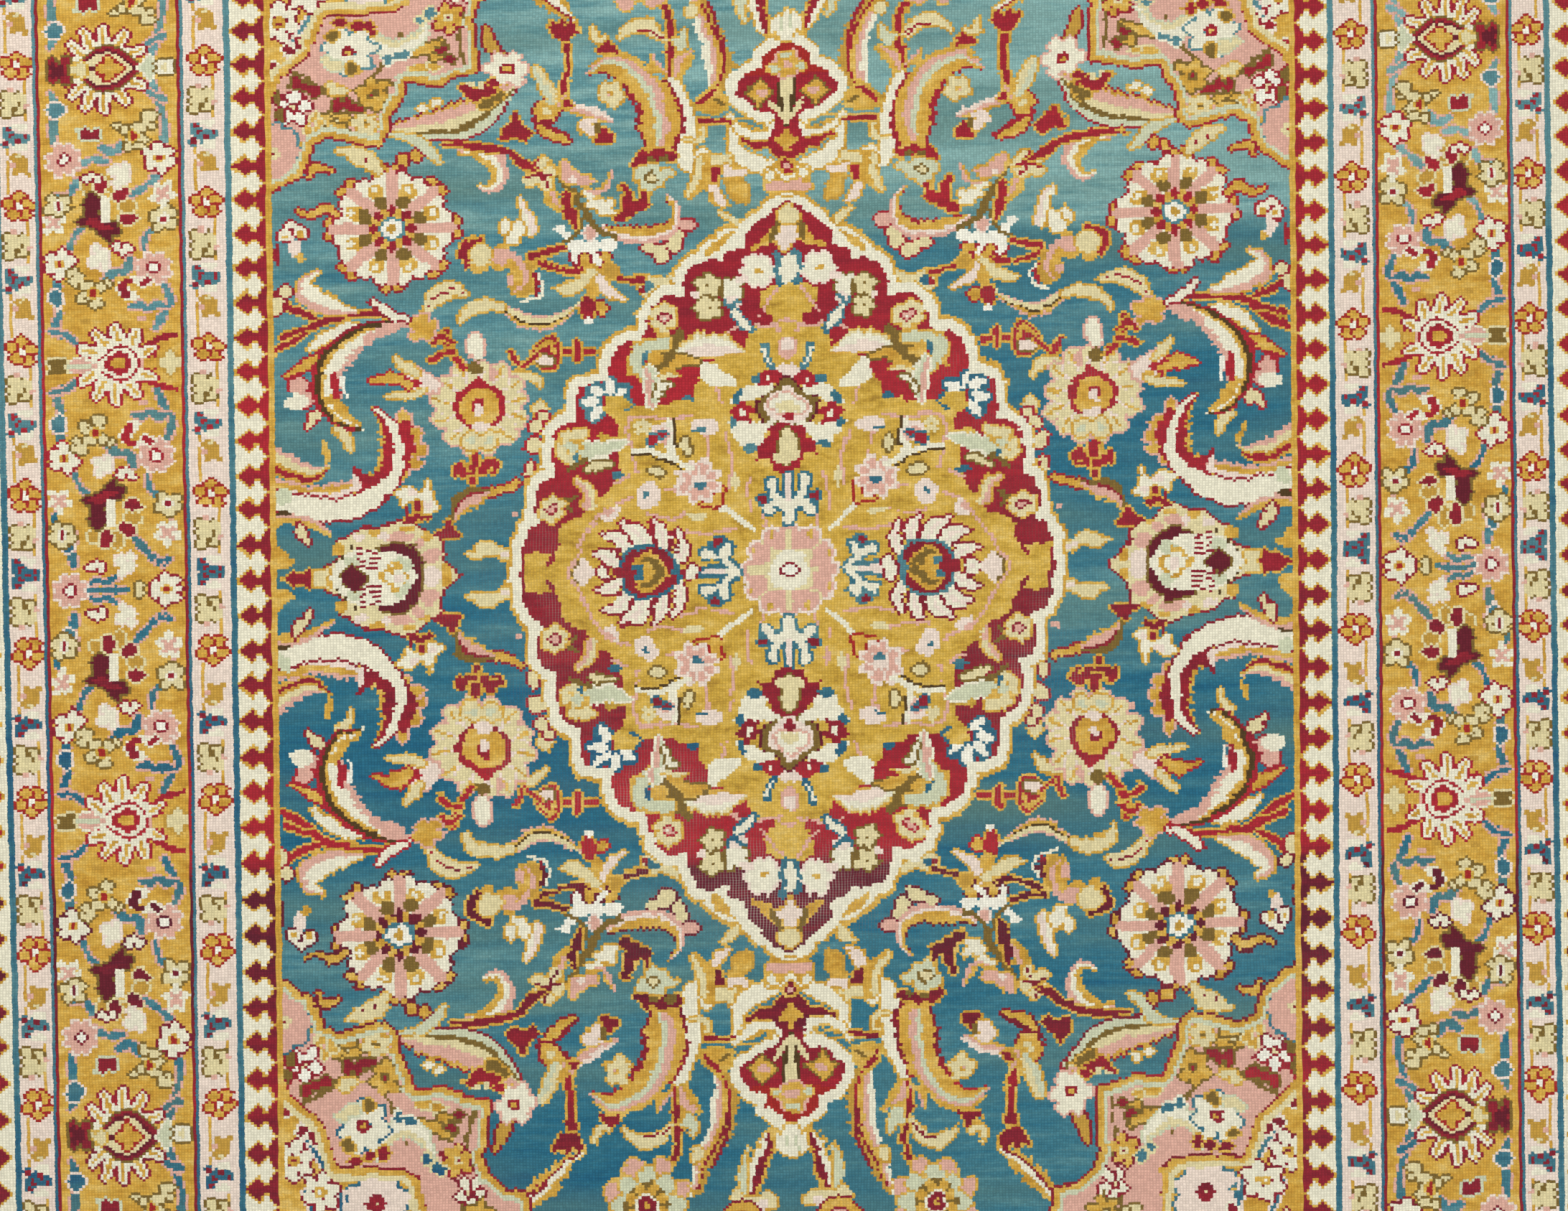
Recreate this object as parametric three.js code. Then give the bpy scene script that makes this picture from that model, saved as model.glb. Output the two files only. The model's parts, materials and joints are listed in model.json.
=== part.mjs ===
// Oriental rug, hand knotted in wool, lying flat on a floor.
// Millimetres. X runs across the rug, Y along it and Z up. The underside lies in the plane Z = 0,
// and the origin is under the middle of the rug's outline.
// The rug is one piece of cloth. Its side cords are worked round its own outer warps and its end
// webs are its own ground weave, so the whole rug is one closed solid.

import * as THREE from 'three';
import { mergeVertices } from 'three/addons/utils/BufferGeometryUtils.js';

// Sizes of the rug as it was planned on the loom.
const WIDTH = 1776;
const LENGTH = 2668;
const PILE_TOP = 7;

// Heights over the floor, from the edge inwards: the overcast cord along each long side, and the
// flat-woven web across each end. The last row of each table is the pile.
const SIDE_PROFILE = [
  { inward: 0, height: 3.0 },
  { inward: 1.2, height: 5.6 },
  { inward: 3.6, height: 6.4 },
  { inward: 6.0, height: 5.6 },
  { inward: 7.2, height: 4.6 },
  { inward: 8.4, height: 6.0 },
  { inward: 11, height: PILE_TOP },
];
const END_PROFILE = [
  { inward: 0, height: 1.1 },
  { inward: 0.8, height: 2.4 },
  { inward: 11, height: 2.5 },
  { inward: 12.5, height: 6.0 },
  { inward: 15, height: PILE_TOP },
];
const UNDERSIDE_INSET = 0.8;

// Cells of the surface between the shaped edges.
const CELLS_ACROSS = 22;
const CELLS_ALONG = 32;

// How the finished rug departs from its plan, as sizes at MEASURED_AT from its middle.
// The loom's tension wandered, so the rows and the warps lean and spread a little.
const MEASURED_AT = 456;
const LEAN_OF_WARPS = 3.2;
const LEAN_LOST_AT_SIDES = 1.8;
const SLOPE_OF_ROWS = 3.2;
const LEFT_HALF_WIDER = 3.0;
const TOP_END_WIDER = 1.1;
const TOP_HALF_TIGHTER = 7.8;
const ROWS_FAN = 1.5;

// Past this stretch the departures level off towards the ends.
const STEADY_TO = 600;
const LEVEL_FROM = 920;

// The pile is a little uneven in height, and lower where it is worn.
const RIPPLE = 0.3;
const RIPPLE_ACROSS = 610;
const RIPPLE_ALONG = 480;
const WORN_PATCHES = [
  { x: -290, y: 20, halfWidth: 110, halfLength: 90, depth: 0.8 },
  { x: -20, y: -290, halfWidth: 190, halfLength: 70, depth: 0.8 },
  { x: -170, y: -170, halfWidth: 100, halfLength: 80, depth: 0.6 },
  { x: 260, y: 200, halfWidth: 120, halfLength: 110, depth: 0.7 },
  { x: 480, y: -480, halfWidth: 140, halfLength: 100, depth: 0.5 },
];

function heightAt(profile, inward) {
  const next = profile.findIndex((row) => row.inward >= inward);
  if (next < 0) return profile.at(-1).height;
  if (next === 0) return profile[0].height;
  const [low, high] = [profile[next - 1], profile[next]];
  const share = (inward - low.inward) / (high.inward - low.inward);
  return low.height + share * (high.height - low.height);
}

function pileTexture(x, y) {
  const ripple = RIPPLE * Math.sin(x / RIPPLE_ACROSS * Math.PI + 1) * Math.cos(y / RIPPLE_ALONG * Math.PI);
  const worn = WORN_PATCHES.reduce((sum, patch) => {
    const reach = ((x - patch.x) / patch.halfWidth) ** 2 + ((y - patch.y) / patch.halfLength) ** 2;
    return sum + patch.depth * Math.exp(-reach);
  }, 0);
  return ripple - RIPPLE - worn;
}

// The height of the rug's upper side over the floor, at a place on the plan.
function surfaceHeight(x, y) {
  const side = heightAt(SIDE_PROFILE, WIDTH / 2 - Math.abs(x));
  const end = heightAt(END_PROFILE, LENGTH / 2 - Math.abs(y));
  const plain = Math.min(side, end);
  return plain === PILE_TOP ? plain + pileTexture(x, y) : plain;
}

// A distance along the rug, levelled off towards the ends.
function levelled(y) {
  const past = Math.min(Math.abs(y), LEVEL_FROM) - STEADY_TO;
  if (past <= 0) return y;
  return Math.sign(y) * (STEADY_TO + past - past ** 2 / (2 * (LEVEL_FROM - STEADY_TO)));
}

// Where a place on the plan lies in the finished rug.
function woven(x, y) {
  const across = x / MEASURED_AT;
  const along = levelled(y) / MEASURED_AT;
  const sideways = LEAN_OF_WARPS * along - LEAN_LOST_AT_SIDES * across ** 2 * along
    - LEFT_HALF_WIDER * across ** 2 + TOP_END_WIDER * across * along;
  const lengthwise = SLOPE_OF_ROWS * across - TOP_HALF_TIGHTER * along ** 2
    + ROWS_FAN * across * along;
  return { x: x + sideways, y: y + lengthwise };
}

// The places of the grid lines over one span: close together over the shaped edges, even between.
function gridLines(span, profile, cells) {
  const edge = profile.map((row) => row.inward);
  const inner = span / 2 - edge.at(-1);
  const low = edge.map((inward) => inward - span / 2);
  const middle = Array.from({ length: cells - 1 }, (_, i) => inner * (2 * (i + 1) / cells - 1));
  const high = edge.map((inward) => span / 2 - inward).reverse();
  return [...low, ...middle, ...high];
}

// A box cut into the grid's cells, each corner then moved to its place on the rug.
function rugGeometry() {
  const columns = gridLines(WIDTH, SIDE_PROFILE, CELLS_ACROSS);
  const rows = gridLines(LENGTH, END_PROFILE, CELLS_ALONG);
  const cellsAcross = columns.length - 1;
  const cellsAlong = rows.length - 1;
  const box = new THREE.BoxGeometry(cellsAcross, cellsAlong, 1, cellsAcross, cellsAlong, 1);
  box.deleteAttribute('normal');
  box.deleteAttribute('uv');
  const geometry = mergeVertices(box);
  const corners = geometry.getAttribute('position');
  for (let i = 0; i < corners.count; i += 1) {
    const onTop = corners.getZ(i) > 0;
    let x = columns[Math.round(corners.getX(i) + cellsAcross / 2)];
    let y = rows[Math.round(corners.getY(i) + cellsAlong / 2)];
    const z = onTop ? surfaceHeight(x, y) : 0;
    if (!onTop) {
      x = THREE.MathUtils.clamp(x, UNDERSIDE_INSET - WIDTH / 2, WIDTH / 2 - UNDERSIDE_INSET);
      y = THREE.MathUtils.clamp(y, UNDERSIDE_INSET - LENGTH / 2, LENGTH / 2 - UNDERSIDE_INSET);
    }
    const place = woven(x, y);
    corners.setXYZ(i, place.x, place.y, z);
  }
  geometry.computeBoundingBox();
  const middle = geometry.boundingBox.getCenter(new THREE.Vector3());
  geometry.translate(-middle.x, -middle.y, 0);
  geometry.computeVertexNormals();
  return geometry;
}

const wool = new THREE.MeshStandardMaterial({ color: 0x8f6a52, roughness: 0.95, metalness: 0 });

const rug = new THREE.Mesh(rugGeometry(), wool);
rug.name = 'rug';

const group = new THREE.Group();
group.add(rug);

export default group;
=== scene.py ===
# %% [markdown]
# # A knotted carpet
#
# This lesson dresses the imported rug: its chart of knots, its pile, the wool round its sides
# and the plain web at its ends, then the floor, the light and the camera of the photo.

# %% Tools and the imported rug
import json
import math

import bpy
import numpy as np
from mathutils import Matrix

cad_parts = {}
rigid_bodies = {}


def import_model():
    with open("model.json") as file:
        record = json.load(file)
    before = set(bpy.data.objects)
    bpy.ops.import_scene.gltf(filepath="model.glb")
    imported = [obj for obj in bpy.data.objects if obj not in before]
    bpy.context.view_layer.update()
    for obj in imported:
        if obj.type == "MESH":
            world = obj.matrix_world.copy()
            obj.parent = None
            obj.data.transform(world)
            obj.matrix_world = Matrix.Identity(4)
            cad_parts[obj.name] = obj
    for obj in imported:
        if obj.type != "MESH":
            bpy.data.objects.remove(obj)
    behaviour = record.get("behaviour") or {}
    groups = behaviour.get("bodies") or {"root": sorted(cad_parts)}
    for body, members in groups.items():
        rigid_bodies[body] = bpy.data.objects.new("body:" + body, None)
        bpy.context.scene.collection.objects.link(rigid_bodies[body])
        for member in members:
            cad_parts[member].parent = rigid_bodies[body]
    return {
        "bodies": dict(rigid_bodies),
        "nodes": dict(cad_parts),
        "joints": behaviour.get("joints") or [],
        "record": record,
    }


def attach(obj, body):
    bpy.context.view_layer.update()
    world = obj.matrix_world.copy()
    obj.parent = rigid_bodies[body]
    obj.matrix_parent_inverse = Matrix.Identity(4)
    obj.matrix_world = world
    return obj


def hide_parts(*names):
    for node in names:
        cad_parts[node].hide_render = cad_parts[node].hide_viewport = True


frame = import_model()


def note_size():
    """Brings the scene's objects up to date."""
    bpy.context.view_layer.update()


note_size()

# %% [markdown]
# ## The rug's own sizes
#
# All in millimetres. They are the sizes of the solid, and the pile lies on them. The weave
# leans and fans a little, as it does on a loom.

# %% Sizes, lean and ripples
WIDTH, LENGTH, PILE_TOP = 1776.0, 2668.0, 7.0
MEASURED_AT = 456.0
STEADY_TO, LEVEL_FROM = 600.0, 920.0
RIPPLE = 0.3
WORN_PATCHES = [(-290, 20, 110, 90, 0.8), (-20, -290, 190, 70, 0.8), (-170, -170, 100, 80, 0.6),
                (260, 200, 120, 110, 0.7), (480, -480, 140, 100, 0.5)]


def levelled(y):
    """Keeps the fan of the rows from growing all the way to the ends."""
    past = np.clip(np.minimum(np.abs(y), LEVEL_FROM) - STEADY_TO, 0, None)
    held = STEADY_TO + past - past**2 / (2 * (LEVEL_FROM - STEADY_TO))
    return np.where(past <= 0, y, np.sign(y) * held)


def leant(x, y):
    """Leans and fans an even point, as the loom did."""
    across, along = x / MEASURED_AT, levelled(y) / MEASURED_AT
    sideways = 3.2 * along - 1.8 * across**2 * along - 3.0 * across**2 + 1.1 * across * along
    lengthwise = 3.2 * across - 7.8 * along**2 + 1.5 * across * along
    return x + sideways, y + lengthwise


side = np.linspace(-1, 1, 401)
full = np.ones_like(side)
edge_x, edge_y = leant(np.concatenate([side, side, full, -full]) * WIDTH / 2,
                       np.concatenate([full, -full, side, side]) * LENGTH / 2)
MIDDLE = ((edge_x.min() + edge_x.max()) / 2, (edge_y.min() + edge_y.max()) / 2)


def woven(x, y):
    """Where a point of the even rug lies on the real one, in millimetres."""
    x, y = leant(np.asarray(x, float), np.asarray(y, float))
    return x - MIDDLE[0], y - MIDDLE[1]


def nearness(x, y, middle_x, middle_y, half_wide, half_long):
    """How near places are to the middle of a patch: one there, and nought far away."""
    return np.exp(-(((x - middle_x) / half_wide) ** 2 + ((y - middle_y) / half_long) ** 2))


def pile_height(x, y):
    """The pile's top: low ripples, and lower where it is worn."""
    height = PILE_TOP + RIPPLE * (np.sin(np.pi * x / 610 + 1) * np.cos(np.pi * y / 480) - 1)
    for *patch_size, depth in WORN_PATCHES:
        height = height - depth * nearness(x, y, *patch_size)
    return height


print("middle of the leaning outline", MIDDLE)

# %% [markdown]
# ## Chart paper
#
# A weaver ties one knot for each square of a chart. A Page is such a chart: it knows each
# knot's place in millimetres, measured from the middle of the rug.
#
# The pattern could be an image, but it is drawn here with lines, leaves, ovals and outlines,
# rounded to whole knots. That gives the stepped edges that real knots have.

# %% Chart tools
KNOT_ACROSS, KNOT_ALONG = 3.2, 2.7
QUARTER_COLUMNS, QUARTER_ROWS = 274, 488
(BLUE, CRIMSON, WINE, GOLD, IVORY, CREAM, CELADON, PINK, BLUSH, OLIVE,
 BROWN, TEAL, WHITE, OCHRE, SCARLET, HONEY) = range(16)


class Page:
    """A chart, with the part of it that may be knotted just now."""

    def __init__(self, columns, rows, first_across=0.0):
        self.first = first_across
        self.knots = np.full((rows, columns), BLUE)
        across = first_across + (np.arange(columns) + 0.5) * KNOT_ACROSS
        along = (np.arange(rows) + 0.5) * KNOT_ALONG
        self.across, self.along = np.meshgrid(across, along)
        self.only = np.ones((rows, columns), bool)
        self.shift, self.flip = (0, 0), 1

    def placed(self, points):
        """Points of a motif where it goes on the page: moved, and upside down if flipped."""
        return np.array(points, float) * (1, self.flip) + self.shift

    def round_about(self, points, reach):
        """The part of the page round some points, as two slices."""
        low, high = points.min(0) - reach, points.max(0) + reach
        first_row, last_row = int(low[1] / KNOT_ALONG) - 1, int(high[1] / KNOT_ALONG) + 2
        first_column = int((low[0] - self.first) / KNOT_ACROSS) - 1
        last_column = int((high[0] - self.first) / KNOT_ACROSS) + 2
        return (slice(max(0, first_row), max(0, last_row)),
                slice(max(0, first_column), max(0, last_column)))


def curve(points, closed=False, steps=6):
    """A smooth line through a few points."""
    p = page.placed(points)
    if closed:
        p = np.vstack([p[-1], p, p[:2]])
    else:
        p = np.vstack([2 * p[0] - p[1], p, 2 * p[-1] - p[-2]])
    t = np.arange(steps)[:, None] / steps
    bends = []
    for a, b, c, d in zip(p, p[1:], p[2:], p[3:]):
        cubic = 3 * b - a - 3 * c + d
        square = 2 * a - 5 * b + 4 * c - d
        bends.append(0.5 * (2 * b + (c - a) * t + square * t**2 + cubic * t**3))
    if not closed:
        bends.append(p[-2:-1])
    return np.vstack(bends)


def inside(outline):
    """The knots inside a closed outline."""
    outline = np.asarray(outline, float)
    mask = np.zeros(page.knots.shape, bool)
    part = page.round_about(outline, 0)
    u, v = page.across[part], page.along[part]
    hit = np.zeros(u.shape, bool)
    for (u0, v0), (u1, v1) in zip(outline, np.roll(outline, -1, axis=0)):
        if v0 != v1:
            crosses = (v0 > v) != (v1 > v)
            hit ^= crosses & (u < (u1 - u0) * (v - v0) / (v1 - v0) + u0)
    mask[part] = hit
    return mask


def beside(points, widths, teeth=0.0, pitch=9, side=0):
    """The knots within a smooth line's width, and how far across it each lies, from -1 to 1."""
    line_points = curve(points)
    places = np.linspace(0, 1, len(line_points))
    half_widths = np.interp(places, np.linspace(0, 1, len(widths)), widths) / 2
    lengths = np.hypot(*np.diff(line_points, axis=0).T)
    starts = np.concatenate([[0], np.cumsum(lengths)])
    part = page.round_about(line_points, max(widths) / 2 + 4)
    u, v = page.across[part], page.along[part]
    nearest = np.full(u.shape, 1e9)
    across, along, half = np.zeros(u.shape), np.zeros(u.shape), np.ones(u.shape)
    for k in range(len(line_points) - 1):
        (u0, v0), (du, dv) = line_points[k], line_points[k + 1] - line_points[k]
        share = np.clip(((u - u0) * du + (v - v0) * dv) / max(lengths[k] ** 2, 1e-9), 0, 1)
        away = np.hypot(u - u0 - share * du, v - v0 - share * dv)
        closer = away < nearest
        nearest = np.where(closer, away, nearest)
        across = np.where(closer, np.sign(du * (v - v0) - dv * (u - u0)), across)
        along = np.where(closer, starts[k] + share * lengths[k], along)
        width_here = half_widths[k] + share * (half_widths[k + 1] - half_widths[k])
        half = np.where(closer, width_here, half)
    across = across * page.flip
    if teeth:
        cut = 1 - teeth * ((along / pitch) % 1)
        half = np.where((side == 0) | (across == side), half * cut, half)
    mask = np.zeros(page.knots.shape, bool)
    mask[part] = nearest <= half
    share_across = np.zeros(page.knots.shape)
    share_across[part] = across * nearest / np.maximum(half, 0.1)
    return mask, share_across


def spread(mask, reach):
    """The mask grown all round by a distance in millimetres."""
    rows, columns = mask.shape
    wide = mask.copy()
    span_u, span_v = int(reach / KNOT_ACROSS), int(reach / KNOT_ALONG)
    padded = np.pad(mask, ((span_v, span_v), (span_u, span_u)))
    for i in range(2 * span_v + 1):
        for j in range(2 * span_u + 1):
            if math.hypot((i - span_v) * KNOT_ALONG, (j - span_u) * KNOT_ACROSS) <= reach:
                wide |= padded[i:i + rows, j:j + columns]
    return wide


def shrunk(mask, reach):
    """The mask without its outer part."""
    return ~spread(~mask, reach)


RIM = 3.3


def knot(mask, colour, edge=None):
    """Ties a colour, with a rim of another colour one knot wide."""
    if edge is not None:
        page.knots[spread(mask, RIM) & page.only] = edge
    page.knots[mask & page.only] = colour


def line(points, width, colour, edge=None):
    """A smooth line, of one width or of widths that change along it."""
    widths = width if isinstance(width, list) else [width, width]
    knot(beside(points, widths)[0], colour, edge)


def leaf(points, widths, stripes, edge=None, teeth=0.24, pitch=9, side=0):
    """A leaf along a spine: of one colour, or in stripes that each end at a share of its width."""
    mask, across = beside(points, widths, teeth, pitch, side)
    if isinstance(stripes, int):
        stripes = [(1, stripes)]
    if edge is not None:
        knot(mask, edge, edge)
    low = -1.01
    for high, colour in stripes:
        knot(mask & (across > low) & (across <= high), colour)
        low = high


def blob(points, colour, edge=None):
    """A shape with a smooth outline through the points."""
    knot(inside(curve(points, closed=True)), colour, edge)


def patch(points, colour, edge=None):
    """A shape with straight sides and sharp corners."""
    knot(inside(page.placed(points)), colour, edge)


def oval(u, v, across, along, turn=0):
    """The knots inside an oval of those half sizes."""
    c, s = math.cos(math.radians(turn)), math.sin(math.radians(turn)) * page.flip
    mask = np.zeros(page.knots.shape, bool)
    middle = page.placed([[u, v]])
    part = page.round_about(middle, max(across, along) + 2)
    du, dv = page.across[part] - middle[0, 0], page.along[part] - middle[0, 1]
    mask[part] = ((du * c + dv * s) / across) ** 2 + ((dv * c - du * s) / along) ** 2 <= 1
    return mask


def spot(u, v, across, along, colour, edge=None, turn=0):
    """An oval of those half sizes."""
    knot(oval(u, v, across, along, turn), colour, edge)


def cluster(spots, colour, edge=None):
    """Ovals that grow together, with one rim round them all."""
    mask = oval(*spots[0])
    for one in spots[1:]:
        mask = mask | oval(*one)
    knot(mask, colour, edge)


def ringed(u, v, count, reach, draw, start=0, arc=360):
    """Calls draw(u, v, angle) at even places round a middle."""
    step = arc / count if arc == 360 else arc / (count - 1)
    for i in range(count):
        angle = start + i * step
        turn = math.radians(angle)
        draw(u + reach * math.cos(turn), v + reach * math.sin(turn), angle)


def bloom(u, v, count, reach, long, wide, colour, edge=None, start=90, arc=360):
    """A flower of oval petals round a middle."""
    petals = []
    ringed(u, v, count, reach, lambda x, y, a: petals.append((x, y, long, wide, a)), start, arc)
    cluster(petals, colour, edge)


def tied(what):
    """Tells how many knots of the page show something else than a bare ground by now."""
    print(what + ":", int((~np.isin(page.knots, (BLUE, HONEY))).sum()), "knots off the ground")


page = Page(QUARTER_COLUMNS, QUARTER_ROWS)
print("a quarter of the rug has", page.knots.size, "knots")

# %% [markdown]
# ## The medallion
#
# Sizes are in millimetres from the middle of the rug: across to one side, along to one end.
# The real rug is nearly the same in its four quarters, so one quarter is drawn and mirrored.

# %% Medallion ground
MEDALLION = [(-30, 372), (0, 400), (14, 391), (30, 374), (46, 360), (46, 345), (62, 343), (64, 331),
             (78, 335), (96, 331), (106, 316), (110, 294), (128, 297), (141, 289), (149, 272),
             (153, 252), (170, 250), (183, 241), (188, 224), (189, 206), (204, 205), (217, 198),
             (222, 182), (222, 160), (236, 157), (246, 145), (249, 124), (246, 102), (260, 95),
             (267, 80), (266, 64), (257, 53), (272, 45), (281, 28), (280, 8), (285, 0), (280, -10),
             (0, -60)]


def medallion():
    """The scalloped outline, its crimson band and its gold ground. Gives the inner part."""
    crimson = inside(MEDALLION)
    shoulder = inside([(44, 368), (62, 367), (80, 358), (92, 346), (92, 336), (60, 334)])
    ivory = spread(crimson, 12.5) | shoulder
    knot(spread(ivory, 5.5), GOLD)
    knot(ivory, IVORY)
    leaf([(56, 362), (68, 354), (80, 345)], [4, 12, 9], GOLD)
    page.only = spread(crimson, 1)
    knot(crimson, CRIMSON)
    ground = [(-5, 306), (18, 304), (28, 299), (30, 286), (22, 276), (20, 268), (34, 262), (42, 250),
              (48, 238), (62, 234), (80, 226), (92, 206), (100, 198), (100, 182), (118, 182),
              (128, 175), (160, 176), (168, 186), (186, 184), (190, 172), (178, 160), (176, 142),
              (196, 148), (200, 132), (178, 122), (178, 104), (186, 94), (188, 84), (206, 74),
              (216, 58), (238, 50), (240, 30), (250, 20), (262, 24), (278, 20), (279, -5), (-5, -5)]
    knot(inside(ground), HONEY)
    return crimson


def hairlines():
    """Thin pink stems and small pale flowers on the gold ground."""
    for points in ([(62, 92), (60, 120), (66, 146)], [(88, 122), (90, 150)],
                   [(76, 90), (100, 84), (130, 88)],
                   [(100, 164), (130, 160), (150, 164), (165, 158), (166, 130), (160, 104)],
                   [(42, 62), (44, 86), (40, 100)], [(60, 44), (90, 42), (110, 46)],
                   [(166, 76), (186, 68), (205, 50), (222, 20), (236, 0)],
                   [(12, 300), (30, 270), (8, 258)], [(70, 250), (50, 262), (20, 262), (0, 268)],
                   [(70, 180), (74, 200), (60, 204)], [(172, 100), (186, 92)], [(20, 12), (30, 60)],
                   [(110, 62), (130, 58), (150, 62)]):
        line(points, 3.4, PINK)
    spot(56, 97, 4, 10, CREAM)
    spot(98, 61, 12, 4, CREAM)
    spot(186, 62, 11, 7, BLUSH, turn=-30)
    spot(190, 64, 7, 4, PINK, turn=-30)
    spot(88, 154, 16, 8, BLUSH)
    spot(96, 150, 6, 2, TEAL)
    spot(149, 80, 11, 14, BLUSH, turn=20)
    spot(150, 82, 2, 5, TEAL, turn=30)


page.only = medallion()
hairlines()
tied("medallion ground")

# %% [markdown]
# The rosette in the middle, the trefoils round it and the sprays between them.

# %% Middle of the medallion
def centre_rosette():
    """The pink rosette with an ivory cross and a small red ring."""
    bloom(0, 0, 12, 40, 13, 12, BLUSH)
    bloom(0, 0, 12, 39, 11, 10, PINK)
    spot(0, 0, 40, 38, PINK)
    for a in range(0, 360, 45):
        c, s = np.cos(np.radians(a)), np.sin(np.radians(a))
        line([(0, 0), (44 * c, 42 * s)], 3.2, CREAM)
    patch([(-22, -22), (22, -22), (22, 22), (-22, 22)], CREAM)
    patch([(-30, -6), (30, -6), (30, 6), (-30, 6)], CREAM)
    spot(0, 0, 21, 21, IVORY)
    for u, v in ((20, 38), (40, 20)):
        spot(u, v, 3, 5, HONEY)
    spot(0, 0, 5, 5, WHITE, CRIMSON)


def trefoils():
    """Two ivory trefoils with teal rims, one towards the end and one towards the side."""
    for colour, stalk, more in ((TEAL, TEAL, 7), (IVORY, BLUSH, 0)):
        line([(0, 54), (0, 74)], 10 + more, colour)
        line([(0, 74), (0, 102)], 4 + more, stalk)
        line([(4, 66), (14, 72), (24, 64)], [6 + more, 9 + more, 10 + more], colour)
        line([(4, 70), (15, 82), (17, 95)], [6 + more, 7 + more, 9 + more], colour)
    spot(27, 77, 8, 7, TEAL)
    spot(27, 77, 5, 4.5, CRIMSON)
    for colour, stalk, more in ((TEAL, TEAL, 7), (IVORY, BLUSH, 0)):
        line([(58, 0), (76, 0)], 6 + more, colour)
        line([(74, 0), (102, 0)], 8 + more, stalk)
        line([(60, 3), (70, 12), (68, 25)], [6 + more, 7 + more, 11 + more], colour)
        line([(68, 10), (78, 18), (88, 21)], [5 + more, 6 + more, 11 + more], colour)
    spot(78, 32, 9, 6, TEAL)
    spot(78, 32, 6, 4, CRIMSON)


def diagonal_spray():
    """The pink flower on an ivory stem, with its buds and forked twigs."""
    line([(40, 43), (56, 56), (72, 69)], [5, 7, 6], IVORY)
    patch([(69, 70), (96, 74), (88, 82), (92, 92), (82, 86), (77, 95), (71, 90), (72, 80)], GOLD,
          SCARLET)
    line([(80, 78), (82, 86)], 3, SCARLET)
    bloom(97, 98, 8, 15, 10, 7, BLUSH, None, 20)
    bloom(97, 98, 8, 14, 6, 4.2, PINK, None, 20)
    spot(97, 98, 9, 8, BLUSH)
    spot(96, 94, 6, 4.5, TEAL)
    line([(104, 112), (118, 118), (126, 128), (124, 146), (126, 160)], [5, 7, 9, 8, 5], IVORY)
    line([(118, 118), (140, 127), (164, 127)], [5, 7, 6], IVORY)
    line([(118, 112), (138, 121), (164, 122)], 3, BROWN)
    line([(121, 134), (119, 160)], 3, BROWN)
    spot(134, 146, 10, 12, BLUSH, turn=-40)
    spot(133, 143, 6, 8, PINK, turn=-40)
    spot(109, 135, 5, 9, CREAM, OLIVE)
    spot(139, 105, 8, 5, CREAM, OLIVE)
    spot(143, 138, 6.5, 9, TEAL, turn=30)
    spot(143, 138, 4.5, 7, CRIMSON, turn=30)
    spot(133, 144, 4, 3, CRIMSON, TEAL)
    bloom(152, 152, 5, 5, 4, 3.4, CREAM)


centre_rosette()
trefoils()
diagonal_spray()
tied("middle of the medallion")

# %% [markdown]
# The round flowers towards the sides and the ends.

# %% Inner flowers
def side_flower():
    """Pointed ivory petals, swept outward, round a ring with an olive and gold heart."""
    for spine, widths in (([(119, 13), (114, 28), (119, 47)], [8, 15, 3]),
                          ([(133, 28), (134, 42), (143, 55)], [12, 16, 3]),
                          ([(152, 31), (158, 43), (176, 53)], [17, 20, 2]),
                          ([(166, 26), (177, 36), (195, 40)], [12, 18, 2]),
                          ([(176, 12), (187, 18), (203, 21)], [10, 16, 2])):
        leaf(spine, widths, IVORY, CRIMSON)
        line(spine, [2, 4, 2], BLUSH)
    spot(195, 0, 9, 8, IVORY, CRIMSON)
    spot(196, 0, 4, 4, BLUSH)
    spot(105, 3, 6, 8, IVORY, CRIMSON)
    spot(147, 0, 32, 31, TEAL)
    spot(147, 0, 28.5, 27.5, CRIMSON)
    blob([(126, 0), (134, 15), (147, 24), (158, 19), (164, 5), (164, -5), (158, -19), (134, -15)], GOLD)
    blob([(129, 0), (137, 13), (147, 19), (156, 15), (160, 4), (160, -4), (156, -15), (137, -13)],
         OLIVE)
    blob([(135, 0), (143, 6), (148, 12), (158, 12), (158, 3), (158, -4), (143, -6)], GOLD)
    spot(158, 7, 5, 5, TEAL)
    patch([(156, 0), (164, 8), (182, 9), (184, -4), (164, -6)], CRIMSON)
    spot(119, 3, 5, 6, TEAL)
    patch([(206, 0), (218, 18), (232, 3), (220, -14)], OLIVE)
    patch([(204, 1), (217, 18), (229, 3), (218, -14)], BLUSH)


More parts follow.
